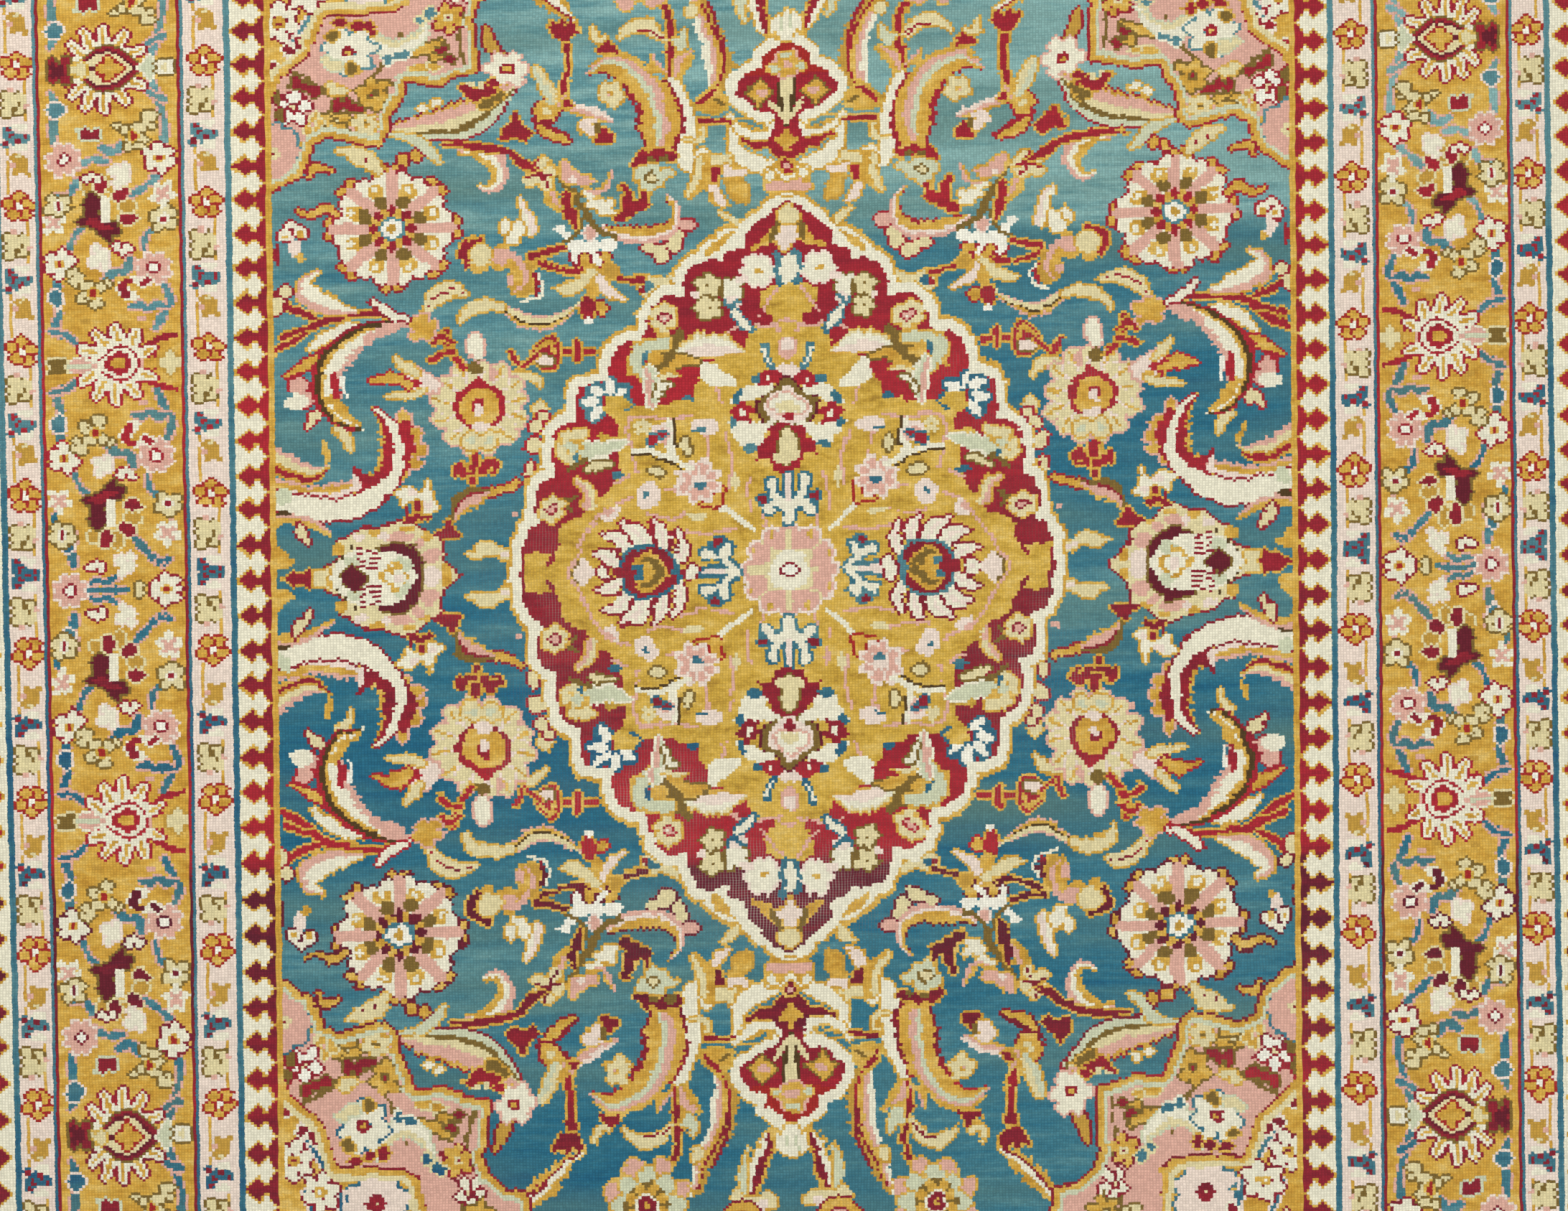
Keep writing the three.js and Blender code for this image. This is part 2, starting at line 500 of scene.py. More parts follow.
def end_flower():
    """The pointed olive frame with a pale heart, and the red and ivory leaves round it."""
    blob([(0, 210), (12, 200), (28, 188), (33, 174), (24, 158), (12, 150), (0, 148), (-20, 160),
          (-20, 190)], WINE)
    blob([(0, 207), (11, 198), (26, 187), (30, 174), (22, 160), (10, 153), (0, 152), (-20, 162),
          (-20, 188)], OLIVE)
    blob([(0, 199), (8, 192), (20, 184), (23, 174), (15, 163), (6, 158), (0, 156), (-20, 164),
          (-20, 184)], BLUSH)
    patch([(0, 158), (8, 164), (4, 170), (0, 172)], CRIMSON)
    cluster([(8, 177, 8, 7), (0, 184, 6, 8)], IVORY, PINK)
    cluster([(7, 175, 4, 4), (0, 176, 4, 5)], CREAM)
    leaf([(22, 196), (42, 190), (60, 180)], [14, 20, 4], IVORY)
    spot(52, 186, 5, 8, TEAL, turn=30)
    bloom(46, 168, 5, 8, 6, 4.5, CRIMSON)
    spot(46, 168, 3.5, 4, IVORY)
    leaf([(14, 158), (36, 150), (58, 158)], [6, 20, 10], IVORY)
    leaf([(20, 128), (36, 140), (50, 142)], [8, 14, 6], IVORY)
    cluster([(38, 141, 13, 11), (51, 150, 8, 7)], IVORY)
    spot(56, 158, 4, 8, TEAL)
    spot(40, 132, 7, 6, TEAL)
    patch([(0, 104), (14, 108), (20, 122), (34, 120), (32, 134), (22, 142), (16, 154), (0, 158)],
          CRIMSON)
    spot(0, 132, 9, 20, CREAM, OLIVE)
    spot(9, 122, 8, 6, CREAM)
    patch([(6, 206), (14, 220), (24, 214), (34, 200), (22, 198), (12, 200)], CRIMSON)
    spot(21, 206, 3, 3, IVORY)
    spot(34, 207, 6, 4, TEAL)
    spot(4, 216, 8, 7, BLUSH)
    line([(16, 220), (22, 230), (24, 242)], 8, TEAL)
    line([(18, 222), (23, 230), (26, 240)], 3.4, IVORY)
    spot(2, 240, 9, 12, PINK)
    spot(0, 244, 7, 7, BLUSH)


side_flower()
end_flower()
tied("inner flowers")

# %% [markdown]
# The flowers and leaves that lie on the crimson band.

# %% Flowers on the crimson band
def band_flowers():
    """White tongues with blue rims, and the small flowers of the crimson band."""
    bloom(188, 181, 6, 17, 10, 7, TEAL, TEAL, -50, 240)
    bloom(188, 181, 6, 17, 9, 5.4, WHITE, None, -50, 240)
    patch([(160, 176), (168, 186), (188, 186), (192, 170), (180, 165)], HONEY)
    bloom(30, 321, 6, 9, 8, 7, IVORY, BLUSH, 0)
    spot(31, 321, 4, 3.4, GOLD)
    line([(8, 338), (10, 320), (8, 308)], 9, TEAL)
    line([(0, 334), (4, 320), (0, 308)], 9, IVORY)
    bloom(58, 303, 4, 7, 6, 5, IVORY, OLIVE, 45)
    bloom(82, 306, 5, 7, 6, 4.4, CREAM, OLIVE, 90)
    bloom(82, 282, 5, 7, 6, 4.4, CREAM, OLIVE, 0)
    cluster([(58, 288, 10, 7), (50, 312, 6, 4), (94, 296, 5, 4)], BLUSH)
    cluster([(24, 268, 9, 6), (40, 285, 5, 5)], CRIMSON)
    line([(52, 290), (60, 282), (66, 288)], 5, TEAL)
    line([(38, 258), (48, 268), (56, 276)], [10, 15, 12], TEAL)
    line([(40, 260), (48, 268), (56, 276)], [5, 9, 7], IVORY)
    bloom(129, 272, 6, 9, 7, 6, CREAM, GOLD, 90)
    spot(129, 272, 5, 4.6, PINK, CRIMSON)
    spot(129, 272, 2.4, 2, IVORY)
    leaf([(48, 236), (70, 244), (92, 244), (110, 236)], [4, 24, 26, 14],
         [(0, BLUSH), (0.7, IVORY), (1, CREAM)], GOLD, 0.3, 7, 1)
    leaf([(48, 235), (72, 239), (110, 236)], [3, 9, 5], BLUSH)
    blob([(54, 200), (66, 214), (76, 222), (88, 228), (91, 212), (86, 200), (70, 197)], IVORY)


def first_leaves():
    """The leaves where the band turns towards the end."""
    leaf([(110, 256), (126, 238), (140, 214)], [10, 22, 10], OLIVE)
    leaf([(92, 226), (112, 228), (136, 208)], [6, 14, 4], GOLD, OLIVE)
    cluster([(134, 246, 10, 7), (150, 244, 12, 7), (160, 230, 8, 13), (149, 214, 9, 9)], CELADON, GOLD)
    cluster([(140, 232, 8, 9), (156, 250, 6, 3), (166, 218, 3, 6)], GOLD)
    spot(151, 232, 3, 8, TEAL, turn=20)
    leaf([(112, 212), (126, 216), (142, 206)], [6, 14, 6], [(0, CREAM), (1, GOLD)])
    leaf([(142, 176), (141, 196), (146, 218)], [4, 14, 12], [(0, PINK), (1, CELADON)], IVORY)
    leaf([(122, 204), (130, 200), (136, 184)], [4, 8, 3], IVORY, OLIVE)
    spot(106, 184, 6, 4, TEAL)


def second_leaves():
    """The leaves where the band turns towards the side."""
    leaf([(172, 136), (192, 130), (216, 128), (236, 124)], [4, 16, 20, 6], CELADON, IVORY)
    cluster([(216, 146, 9, 6), (230, 143, 8, 7), (238, 130, 6, 10), (228, 120, 8, 6)], CREAM, GOLD)
    cluster([(222, 134, 8, 6), (236, 140, 3, 4)], GOLD)
    spot(228, 132, 6, 5, CELADON)
    spot(223, 121, 3, 6, TEAL)
    leaf([(186, 114), (204, 112), (214, 106)], [4, 12, 4], CREAM, OLIVE)
    leaf([(214, 118), (226, 112), (232, 108)], [6, 8, 4], OLIVE)
    leaf([(208, 70), (212, 86), (222, 96)], [10, 12, 6], [(0, PINK), (1, CREAM)], GOLD)
    leaf([(226, 64), (232, 72), (224, 80)], [4, 8, 4], OLIVE)
    spot(184, 102, 7, 4, TEAL)
    bloom(247, 66, 6, 8, 6, 6, CREAM, GOLD, 90)
    spot(247, 66, 4.6, 4, PINK, CRIMSON)


def tips():
    """The points of the medallion at its end and its side."""
    leaf([(-2, 350), (4, 362), (0, 372)], [14, 22, 10], BLUSH, GOLD)
    leaf([(12, 366), (22, 352), (36, 346)], [10, 14, 6], GOLD)
    leaf([(10, 374), (14, 362), (18, 352)], [6, 8, 4], OLIVE)
    patch([(-4, 396), (0, 396), (8, 386), (10, 376), (0, 372), (-4, 372)], CREAM, GOLD)
    patch([(246, 20), (262, 22), (276, 20), (280, 6), (280, -6), (246, -6)], HONEY)
    line([(248, 18), (254, 10)], 5, CRIMSON)


band_flowers()
first_leaves()
second_leaves()
tips()
tied("whole medallion")

# %% [markdown]
# ## Leaves and flowers of the blue field
#
# The field reaches a little under the border, so that no gap shows between them.

# %% Leaves near the medallion
FIELD_LIMIT = 541
page.only = ~spread(inside(MEDALLION), 13) & (page.across < FIELD_LIMIT)


def near_medallion():
    """The small leaves that grow out of the medallion's edge."""
    line([(52, 372), (58, 380), (68, 387)], [6, 8, 3], CREAM, GOLD)
    blob([(118, 320), (134, 316), (150, 318), (158, 311), (154, 298), (138, 299), (126, 306)], CREAM,
         GOLD)
    spot(147, 308, 7, 4.5, TEAL)
    spot(153, 306, 3, 4, CRIMSON)
    spot(258, 174, 7, 9, CREAM, GOLD)
    cluster([(254, 166, 6, 5), (262, 156, 6, 7)], CREAM, CRIMSON)
    spot(267, 135, 8, 8, CREAM, CRIMSON)
    spot(270, 109, 6, 9, CREAM, CRIMSON)
    spot(284, 62, 4, 4, PINK)
    leaf([(224, 212), (226, 206)], [5, 5], GOLD)
    patch([(287, 24), (290, 14), (303, 14), (307, 20), (330, 19), (342, 22), (330, 26), (326, 32),
           (312, 33), (306, 27), (296, 25)], CREAM, GOLD)
    patch([(290, 22), (293, 15), (302, 15), (304, 21)], BLUSH)


def curled_leaf():
    """The leaf that curls up, with a row of buds under it."""
    spot(105, 375, 12, 6, PINK, CRIMSON)
    cluster([(116, 354, 8, 8), (112, 364, 8, 5), (131, 343, 10, 9), (146, 349, 7, 6)], CREAM, CRIMSON)
    leaf([(128, 408), (117, 398), (115, 385), (121, 372), (136, 365), (155, 364), (175, 366),
          (192, 374)], [3, 8, 13, 18, 21, 23, 19, 8],
         [(-0.55, PINK), (-0.15, BLUSH), (0.75, GOLD), (1, CRIMSON)], None, 0.25, 8, 1)


def pale_palmette():
    """The white palmette on forked twigs."""
    line([(182, 358), (196, 368), (207, 380), (216, 402), (235, 426)], 5, OLIVE)
    line([(214, 384), (218, 370), (228, 360), (236, 356)], 4, OLIVE)
    line([(152, 316), (170, 317), (186, 322)], 4, CRIMSON, GOLD)
    line([(212, 328), (232, 327), (250, 331), (264, 337)], 4, CRIMSON, GOLD)
    line([(236, 352), (252, 347), (270, 344)], 6, CRIMSON, GOLD)
    cluster([(192, 340, 6, 6), (214, 340, 5, 8), (200, 336, 5, 9), (225, 340, 6, 8)], CRIMSON, CRIMSON)
    cluster([(188, 352, 10, 7), (205, 352, 9, 9), (221, 352, 11, 8)], WHITE)
    spot(191, 340, 6, 5, GOLD)
    spot(213, 338, 4.5, 8, GOLD)
    spot(201, 335, 4.5, 9, WHITE)
    spot(226, 341, 5, 8, WHITE)
    spot(207, 366, 6, 7, PINK, BLUSH)
    leaf([(206, 328), (198, 312), (188, 303), (174, 295)], [10, 14, 10, 3], BLUSH, GOLD)
    leaf([(208, 326), (220, 314), (234, 308), (246, 309)], [10, 14, 14, 3], CREAM, GOLD)
    spot(208, 306, 6, 12, GOLD)
    spot(187, 325, 7, 7, OCHRE, GOLD)
    spot(214, 287, 6, 13, CRIMSON, GOLD)
    spot(199, 288, 6, 7, GOLD, CRIMSON)
    spot(213, 273, 6, 4, WHITE)


near_medallion()
curled_leaf()
pale_palmette()
tied("near the medallion")

# %% [markdown]
# The round flower of the field and what grows round it.

# %% Round flower of the field
def wave_leaf():
    """The long pale leaf that waves, and the bud above it."""
    leaf([(222, 293), (236, 281), (256, 273), (276, 275), (292, 286), (304, 292)],
         [3, 12, 19, 19, 15, 8], [(-0.75, PINK), (-0.3, GOLD), (-0.1, BROWN), (0.7, CREAM), (1, PINK)])
    leaf([(298, 290), (312, 293), (328, 290), (340, 282), (345, 270)], [8, 13, 13, 9, 3], CREAM, GOLD,
         0.3, 7)
    blob([(272, 336), (286, 332), (292, 318), (286, 306), (272, 302), (268, 318)], OCHRE, GOLD)
    spot(290, 318, 5, 7, PINK)
    line([(266, 325), (263, 314), (268, 303)], 5, CRIMSON)
    line([(262, 326), (258, 313), (264, 300), (280, 296)], 3.4, IVORY)


def crab_spray():
    """The red spray with two claws."""
    line([(203, 240), (242, 240)], 6, CRIMSON, GOLD)
    line([(221, 231), (221, 250)], 6, CRIMSON, GOLD)
    blob([(240, 240), (244, 256), (252, 259), (262, 250), (269, 238), (262, 224), (244, 222)], CRIMSON,
         GOLD)
    leaf([(246, 240), (250, 252), (264, 244)], [4, 8, 4], GOLD)
    spot(255, 231, 10, 5.5, BLUSH, OLIVE)
    line([(264, 238), (276, 228), (292, 213)], 5, CRIMSON, GOLD)
    line([(291, 242), (285, 228), (281, 222)], [4, 7, 4], CRIMSON, GOLD)
    leaf([(258, 203), (266, 211), (278, 216), (290, 216)], [4, 11, 9, 3], CREAM, GOLD)


def peony(u, v):
    """The round flower with two rows of petals and a gold heart."""
    bloom(u, v, 13, 38, 15, 10, CREAM, PINK, 90)
    bloom(u, v, 13, 41, 10, 1.6, GOLD)
    bloom(u, v, 13, 30, 14, 8, BLUSH, None, 76)
    bloom(u, v, 13, 30, 14, 6, CREAM, None, 76)
    cluster([(u - 10, v - 37, 10, 9), (u + 10, v - 37, 10, 9)], CREAM, GOLD)
    cluster([(u - 10, v - 37, 5, 5), (u + 10, v - 37, 5, 5)], CELADON)
    spot(u + 1, v, 27, 25, CRIMSON)
    spot(u + 1, v + 24, 8, 8, CRIMSON)
    spot(u + 1, v - 2, 21, 21, GOLD)
    spot(u + 1, v - 22, 10, 5, BLUSH)
    spot(u + 3, v, 7, 9, CRIMSON)
    spot(u + 3, v - 4, 5, 8, BLUSH)


def peony_group():
    """The round flower with its leaves, and the red trident under it."""
    peony(323, 181)
    spot(328, 247, 8, 15, IVORY, PINK)
    spot(328, 223, 7, 8, OLIVE)
    spot(310, 218, 5, 7, PINK)
    line([(328, 128), (329, 98)], 8, CRIMSON, GOLD)
    line([(328, 108), (318, 110), (312, 120), (305, 116), (307, 107)], [6, 9, 9, 8, 4], CRIMSON, GOLD)
    line([(330, 108), (338, 109), (343, 117), (347, 108)], [6, 8, 9, 5], CRIMSON, GOLD)
    leaf([(282, 97), (290, 91), (304, 87), (320, 85)], [5, 8, 9, 10], GOLD, CRIMSON)
    leaf([(312, 85), (328, 81), (343, 75), (351, 63)], [8, 25, 29, 12],
         [(-0.55, GOLD), (0.15, PINK), (0.4, CRIMSON), (1, OLIVE)], None, 0.35, 9, -1)
    blob([(366, 206), (378, 218), (394, 224), (402, 212), (398, 198), (384, 193), (370, 198)], BLUSH,
         PINK)
    leaf([(390, 216), (400, 226), (409, 236)], [8, 13, 3], CREAM, GOLD)
    leaf([(384, 197), (398, 192), (421, 191)], [8, 10, 3], CREAM, GOLD)
    leaf([(398, 205), (415, 212), (438, 210)], [8, 17, 2], GOLD, CRIMSON)
    spot(390, 206, 4.5, 4.5, CRIMSON)
    line([(340, 222), (348, 232), (356, 244), (358, 263)], 6, CRIMSON, GOLD)
    line([(352, 250), (365, 258), (371, 250)], 5, CRIMSON, GOLD)
    line([(352, 240), (364, 238), (372, 231)], 5, CRIMSON, GOLD)


wave_leaf()
crab_spray()
peony_group()
tied("round flower")

# %% [markdown]
# The two long leaves that bend round each other.

# %% Bent leaves
def sickle():
    """The big ivory sickle leaf at the field's side."""
    cluster([(405, 166, 5, 9), (394, 150, 9, 7), (388, 135, 8, 7), (393, 121, 8, 6), (405, 110, 6, 5)],
            GOLD, PINK)
    line([(404, 160), (396, 138), (402, 118)], 9, CRIMSON)
    leaf([(436, 178), (424, 160), (420, 140), (424, 118), (440, 102), (460, 98)],
         [4, 16, 24, 26, 22, 8], GOLD, None, 0.5, 11, 1)
    leaf([(434, 178), (422, 160), (418, 140), (422, 118), (438, 102), (456, 98)],
         [4, 10, 17, 19, 17, 6], CRIMSON, None, 0.4, 8, 1)
    leaf([(450, 102), (470, 97), (500, 93), (538, 100)], [12, 20, 22, 16],
         [(-0.2, BLUSH), (0.5, GOLD), (1, PINK)], None, 0.3, 14, 1)
    leaf([(434, 178), (420, 166), (411, 148), (409, 128), (415, 108), (430, 91), (452, 79), (480, 73),
          (510, 76), (538, 84)], [3, 8, 11, 13, 16, 20, 26, 28, 28, 20], IVORY, CRIMSON)
    leaf([(442, 108), (450, 112), (452, 120)], [8, 8, 3], CRIMSON)
    spot(452, 106, 4, 7, BLUSH)
    spot(530, 88, 9, 9, CELADON)
    spot(530, 69, 7, 4, BROWN)
    leaf([(478, 44), (492, 54), (510, 62), (538, 62)], [4, 12, 14, 14], [(0.2, GOLD), (1, PINK)])
    leaf([(504, 38), (512, 50), (516, 58)], [4, 12, 8], CREAM, CRIMSON)


def saz():
    """The big toothed leaf that bends round the sickle leaf."""
    leaf([(450, 272), (470, 268), (488, 256), (502, 244)], [4, 13, 13, 3], IVORY, GOLD, 0.3, 8)
    leaf([(486, 242), (505, 229), (526, 217)], [4, 13, 2], GOLD, CRIMSON)
    cluster([(513, 206, 10, 9), (505, 192, 8, 8)], PINK, CRIMSON)
    spot(516, 190, 13, 9, IVORY)
    spot(516, 206, 7, 6, PINK)
    leaf([(488, 180), (500, 171), (509, 159)], [8, 13, 3], CREAM, CRIMSON)
    leaf([(476, 158), (464, 151), (460, 135)], [4, 11, 3], CREAM, GOLD)
    leaf([(392, 274), (420, 269), (448, 257), (470, 236), (481, 212), (480, 188), (468, 168),
          (446, 158)], [4, 16, 30, 40, 38, 30, 20, 3],
         [(-0.55, PINK), (0.2, IVORY), (0.45, GOLD), (0.75, BROWN), (1, CRIMSON)], None, 0.3, 12, -1)
    leaf([(392, 274), (420, 266), (440, 256)], [4, 16, 10], PINK)
    leaf([(476, 190), (466, 174), (448, 160)], [14, 12, 3], GOLD)
    spot(473, 206, 5, 15, CRIMSON)
    line([(464, 214), (463, 194)], 4, WHITE)


sickle()
saz()
tied("bent leaves")

# %% [markdown]
# The big rosette and its branch.

# %% Big rosette
def rosette(u, v):
    """The big many-spoked rosette."""
    for k in range(8):
        for turn in (-6, 6):
            a = np.radians(45 * k + turn)
            spot(u + 66 * np.cos(a), v + 64 * np.sin(a), 5.5, 5.5, GOLD, CRIMSON)
    bloom(u, v, 16, 50, 12, 11.5, IVORY, CRIMSON, 11.25)
    spot(u, v, 54, 52, IVORY)
    for k in range(8):
        a = np.radians(45 * k)
        c, s = np.cos(a), np.sin(a)
        line([(u + 26 * c, v + 26 * s), (u + 60 * c, v + 57 * s)], 13, PINK)
    ringed(u, v, 8, 43, lambda x, y, a: spot(x, y, 9, 9, GOLD, None, a), 22.5)
    ringed(u, v, 8, 46, lambda x, y, a: spot(x, y, 3.5, 3.5, IVORY), 22.5)
    ringed(u, v, 8, 31, lambda x, y, a: spot(x, y, 7.5, 7, OLIVE, None, a), 22.5)
    spot(u, v, 24, 23, GOLD)
    ringed(u, v, 8, 20, lambda x, y, a: spot(x, y, 6, 4.5, CRIMSON, None, a), 0)
    spot(u, v, 14, 13, TEAL)
    cluster([(u - 6, v, 5, 8), (u + 6, v, 5, 8), (u, v, 8, 10)], WHITE)
    spot(u, v, 5, 4.5, OCHRE)


def rosette_group():
    """The rosette with the branch that it grows on."""
    leaf([(300, 350), (285, 338), (278, 322), (284, 306)], [14, 20, 14, 4], [(0, PINK), (1, GOLD)],
         None, 0.3, 8, -1)
    cluster([(298, 352, 8, 7), (303, 338, 9, 9), (322, 333, 8, 6), (324, 362, 8, 5)], GOLD)
    spot(300, 346, 11, 9, PINK)
    line([(320, 364), (338, 354), (334, 336)], [6, 10, 6], CRIMSON, GOLD)
    spot(320, 348, 13, 12, CREAM, GOLD)
    leaf([(335, 305), (352, 308), (368, 302), (386, 282)], [4, 18, 20, 4],
         [(-0.1, CREAM), (0.18, CRIMSON), (1, CREAM)], GOLD)
    bloom(384, 268, 5, 9, 8, 6, GOLD, PINK, 20)
    line([(400, 277), (420, 281), (450, 284), (480, 281), (505, 270), (530, 262)], [3, 5, 7, 9, 9, 5],
         CRIMSON, GOLD)
    line([(498, 282), (515, 290), (530, 301)], [5, 7, 3], CRIMSON, GOLD)
    line([(503, 264), (518, 256), (540, 244)], [4, 8, 5], CRIMSON, GOLD)
    leaf([(455, 289), (480, 296), (500, 306), (508, 320), (494, 330)], [6, 20, 24, 15, 3],
         [(-0.3, PINK), (1, IVORY)], GOLD, 0.2, 9, 1)
    leaf([(402, 276), (420, 284), (437, 299)], [4, 13, 3], IVORY, CRIMSON)
    cluster([(528, 312, 7, 7), (534, 296, 7, 9)], CREAM, CRIMSON)
    rosette(413.4, 375.4)
    cluster([(508, 373, 7, 7), (525, 371, 7, 7), (518, 381, 7, 4)], IVORY, CRIMSON)
    spot(508, 371, 4, 4, GOLD)
    spot(524, 370, 4, 4, GOLD)
    spot(518, 357, 6, 12, BLUSH)
    spot(512, 347, 5, 3, GOLD)
    leaf([(534, 336), (538, 350), (534, 364)], [2, 8, 2], CRIMSON)
    leaf([(470, 392), (484, 398), (500, 392), (512, 398)], [6, 10, 8, 3], GOLD, CRIMSON)


rosette_group()
tied("rosette")

# %% [markdown]
# The palmette on the middle line, at the field's side.

# %% Palmette at the field's side
def side_palmette():
    """The palmette that points to the side, with feathers round a dark ring."""
    patch([(344, 42), (352, 51), (358, 61), (365, 52), (380, 43), (364, 41)], CRIMSON, GOLD)
    blob([(379, 102), (384, 91), (391, 90), (400, 97), (413, 93), (407, 85), (404, 76), (396, 82),
          (389, 73), (378, 71), (367, 75), (374, 84)], IVORY, GOLD)
    cluster([(396, 90, 5, 5), (380, 78, 6, 4)], BLUSH)
    line([(391, 80), (391, 64)], 5, CRIMSON, GOLD)
    line([(382, 63), (392, 67), (401, 63)], [7, 7, 7], CRIMSON, GOLD)
    line([(401, 73), (402, 58)], 5, CRIMSON)
    blob([(350, -8), (348, 6), (362, 20), (366, 38), (384, 46), (394, 56), (411, 61), (428, 54),
          (446, 54), (460, 42), (470, 38), (468, 22), (482, 14), (500, 8), (506, -8)], CREAM, CRIMSON)
    cluster([(384, 44, 6, 5), (404, 54, 6, 4), (432, 51, 8, 4), (357, 8, 6, 5), (470, 30, 7, 7)], GOLD)
    cluster([(376, 24, 11, 8), (410, 45, 13, 6), (390, 38, 7, 5)], PINK)
    cluster([(372, 4, 9, 10), (448, 44, 8, 6), (424, 46, 5, 5)], BLUSH)
    line([(387, -8), (389, 14), (398, 26), (411, 33), (428, 32)], [10, 10, 12, 10, 5], WINE, OLIVE)
    blob([(391, -6), (393, 12), (404, 25), (418, 29), (438, 31), (456, 28), (470, 18), (484, 3),
          (484, -6)], IVORY)
    cluster([(404, 14, 9, 9), (456, 18, 8, 6)], CELADON)
    bloom(412, 0, 4, 9, 8, 7, GOLD, None, 0)
    bloom(412, 0, 4, 6, 6, 5, IVORY, None, 0)
    spot(411, 0, 6, 6, BLUSH)
    for along in (8, 14, 20, 26):
        line([(429, along), (439, along + 2)], 2.6, CRIMSON)
        line([(444, along + 4), (450, along + 5)], 2.6, CRIMSON)
    patch([(438, 0), (448, 5), (455, 13), (461, 9), (470, 3), (461, -3), (455, -10)], WINE, OLIVE)
    for k in range(7):
        spot(456 + 5 * k, 32 - 5 * k, 1.8, 1.8, BROWN)
    patch([(484, 10), (500, 10), (506, 0), (500, -10), (486, -8)], CREAM, GOLD)
    patch([(498, 0), (504, 8), (502, 14), (512, 8), (520, 10), (536, 0), (520, -10), (504, -12)],
          CRIMSON, GOLD)
    patch([(518, 22), (530, 30), (540, 40), (540, 14), (528, 12)], GOLD)


def right_edge():
    """The striped leaf that the border cuts off."""
    leaf([(488, 146), (484, 132), (486, 122)], [6, 9, 4], GOLD)
    leaf([(482, 122), (500, 114), (520, 118), (542, 130)], [4, 20, 28, 30],
         [(-0.75, GOLD), (-0.35, CRIMSON), (-0.1, GOLD), (0.5, CREAM), (1, PINK)], None, 0.3, 12, 1)


side_palmette()
right_edge()
tied("field's side")

# %% [markdown]
# ## The pendant, the long leaves beside it and the corner piece

# %% Pendant
page.only = page.across < FIELD_LIMIT


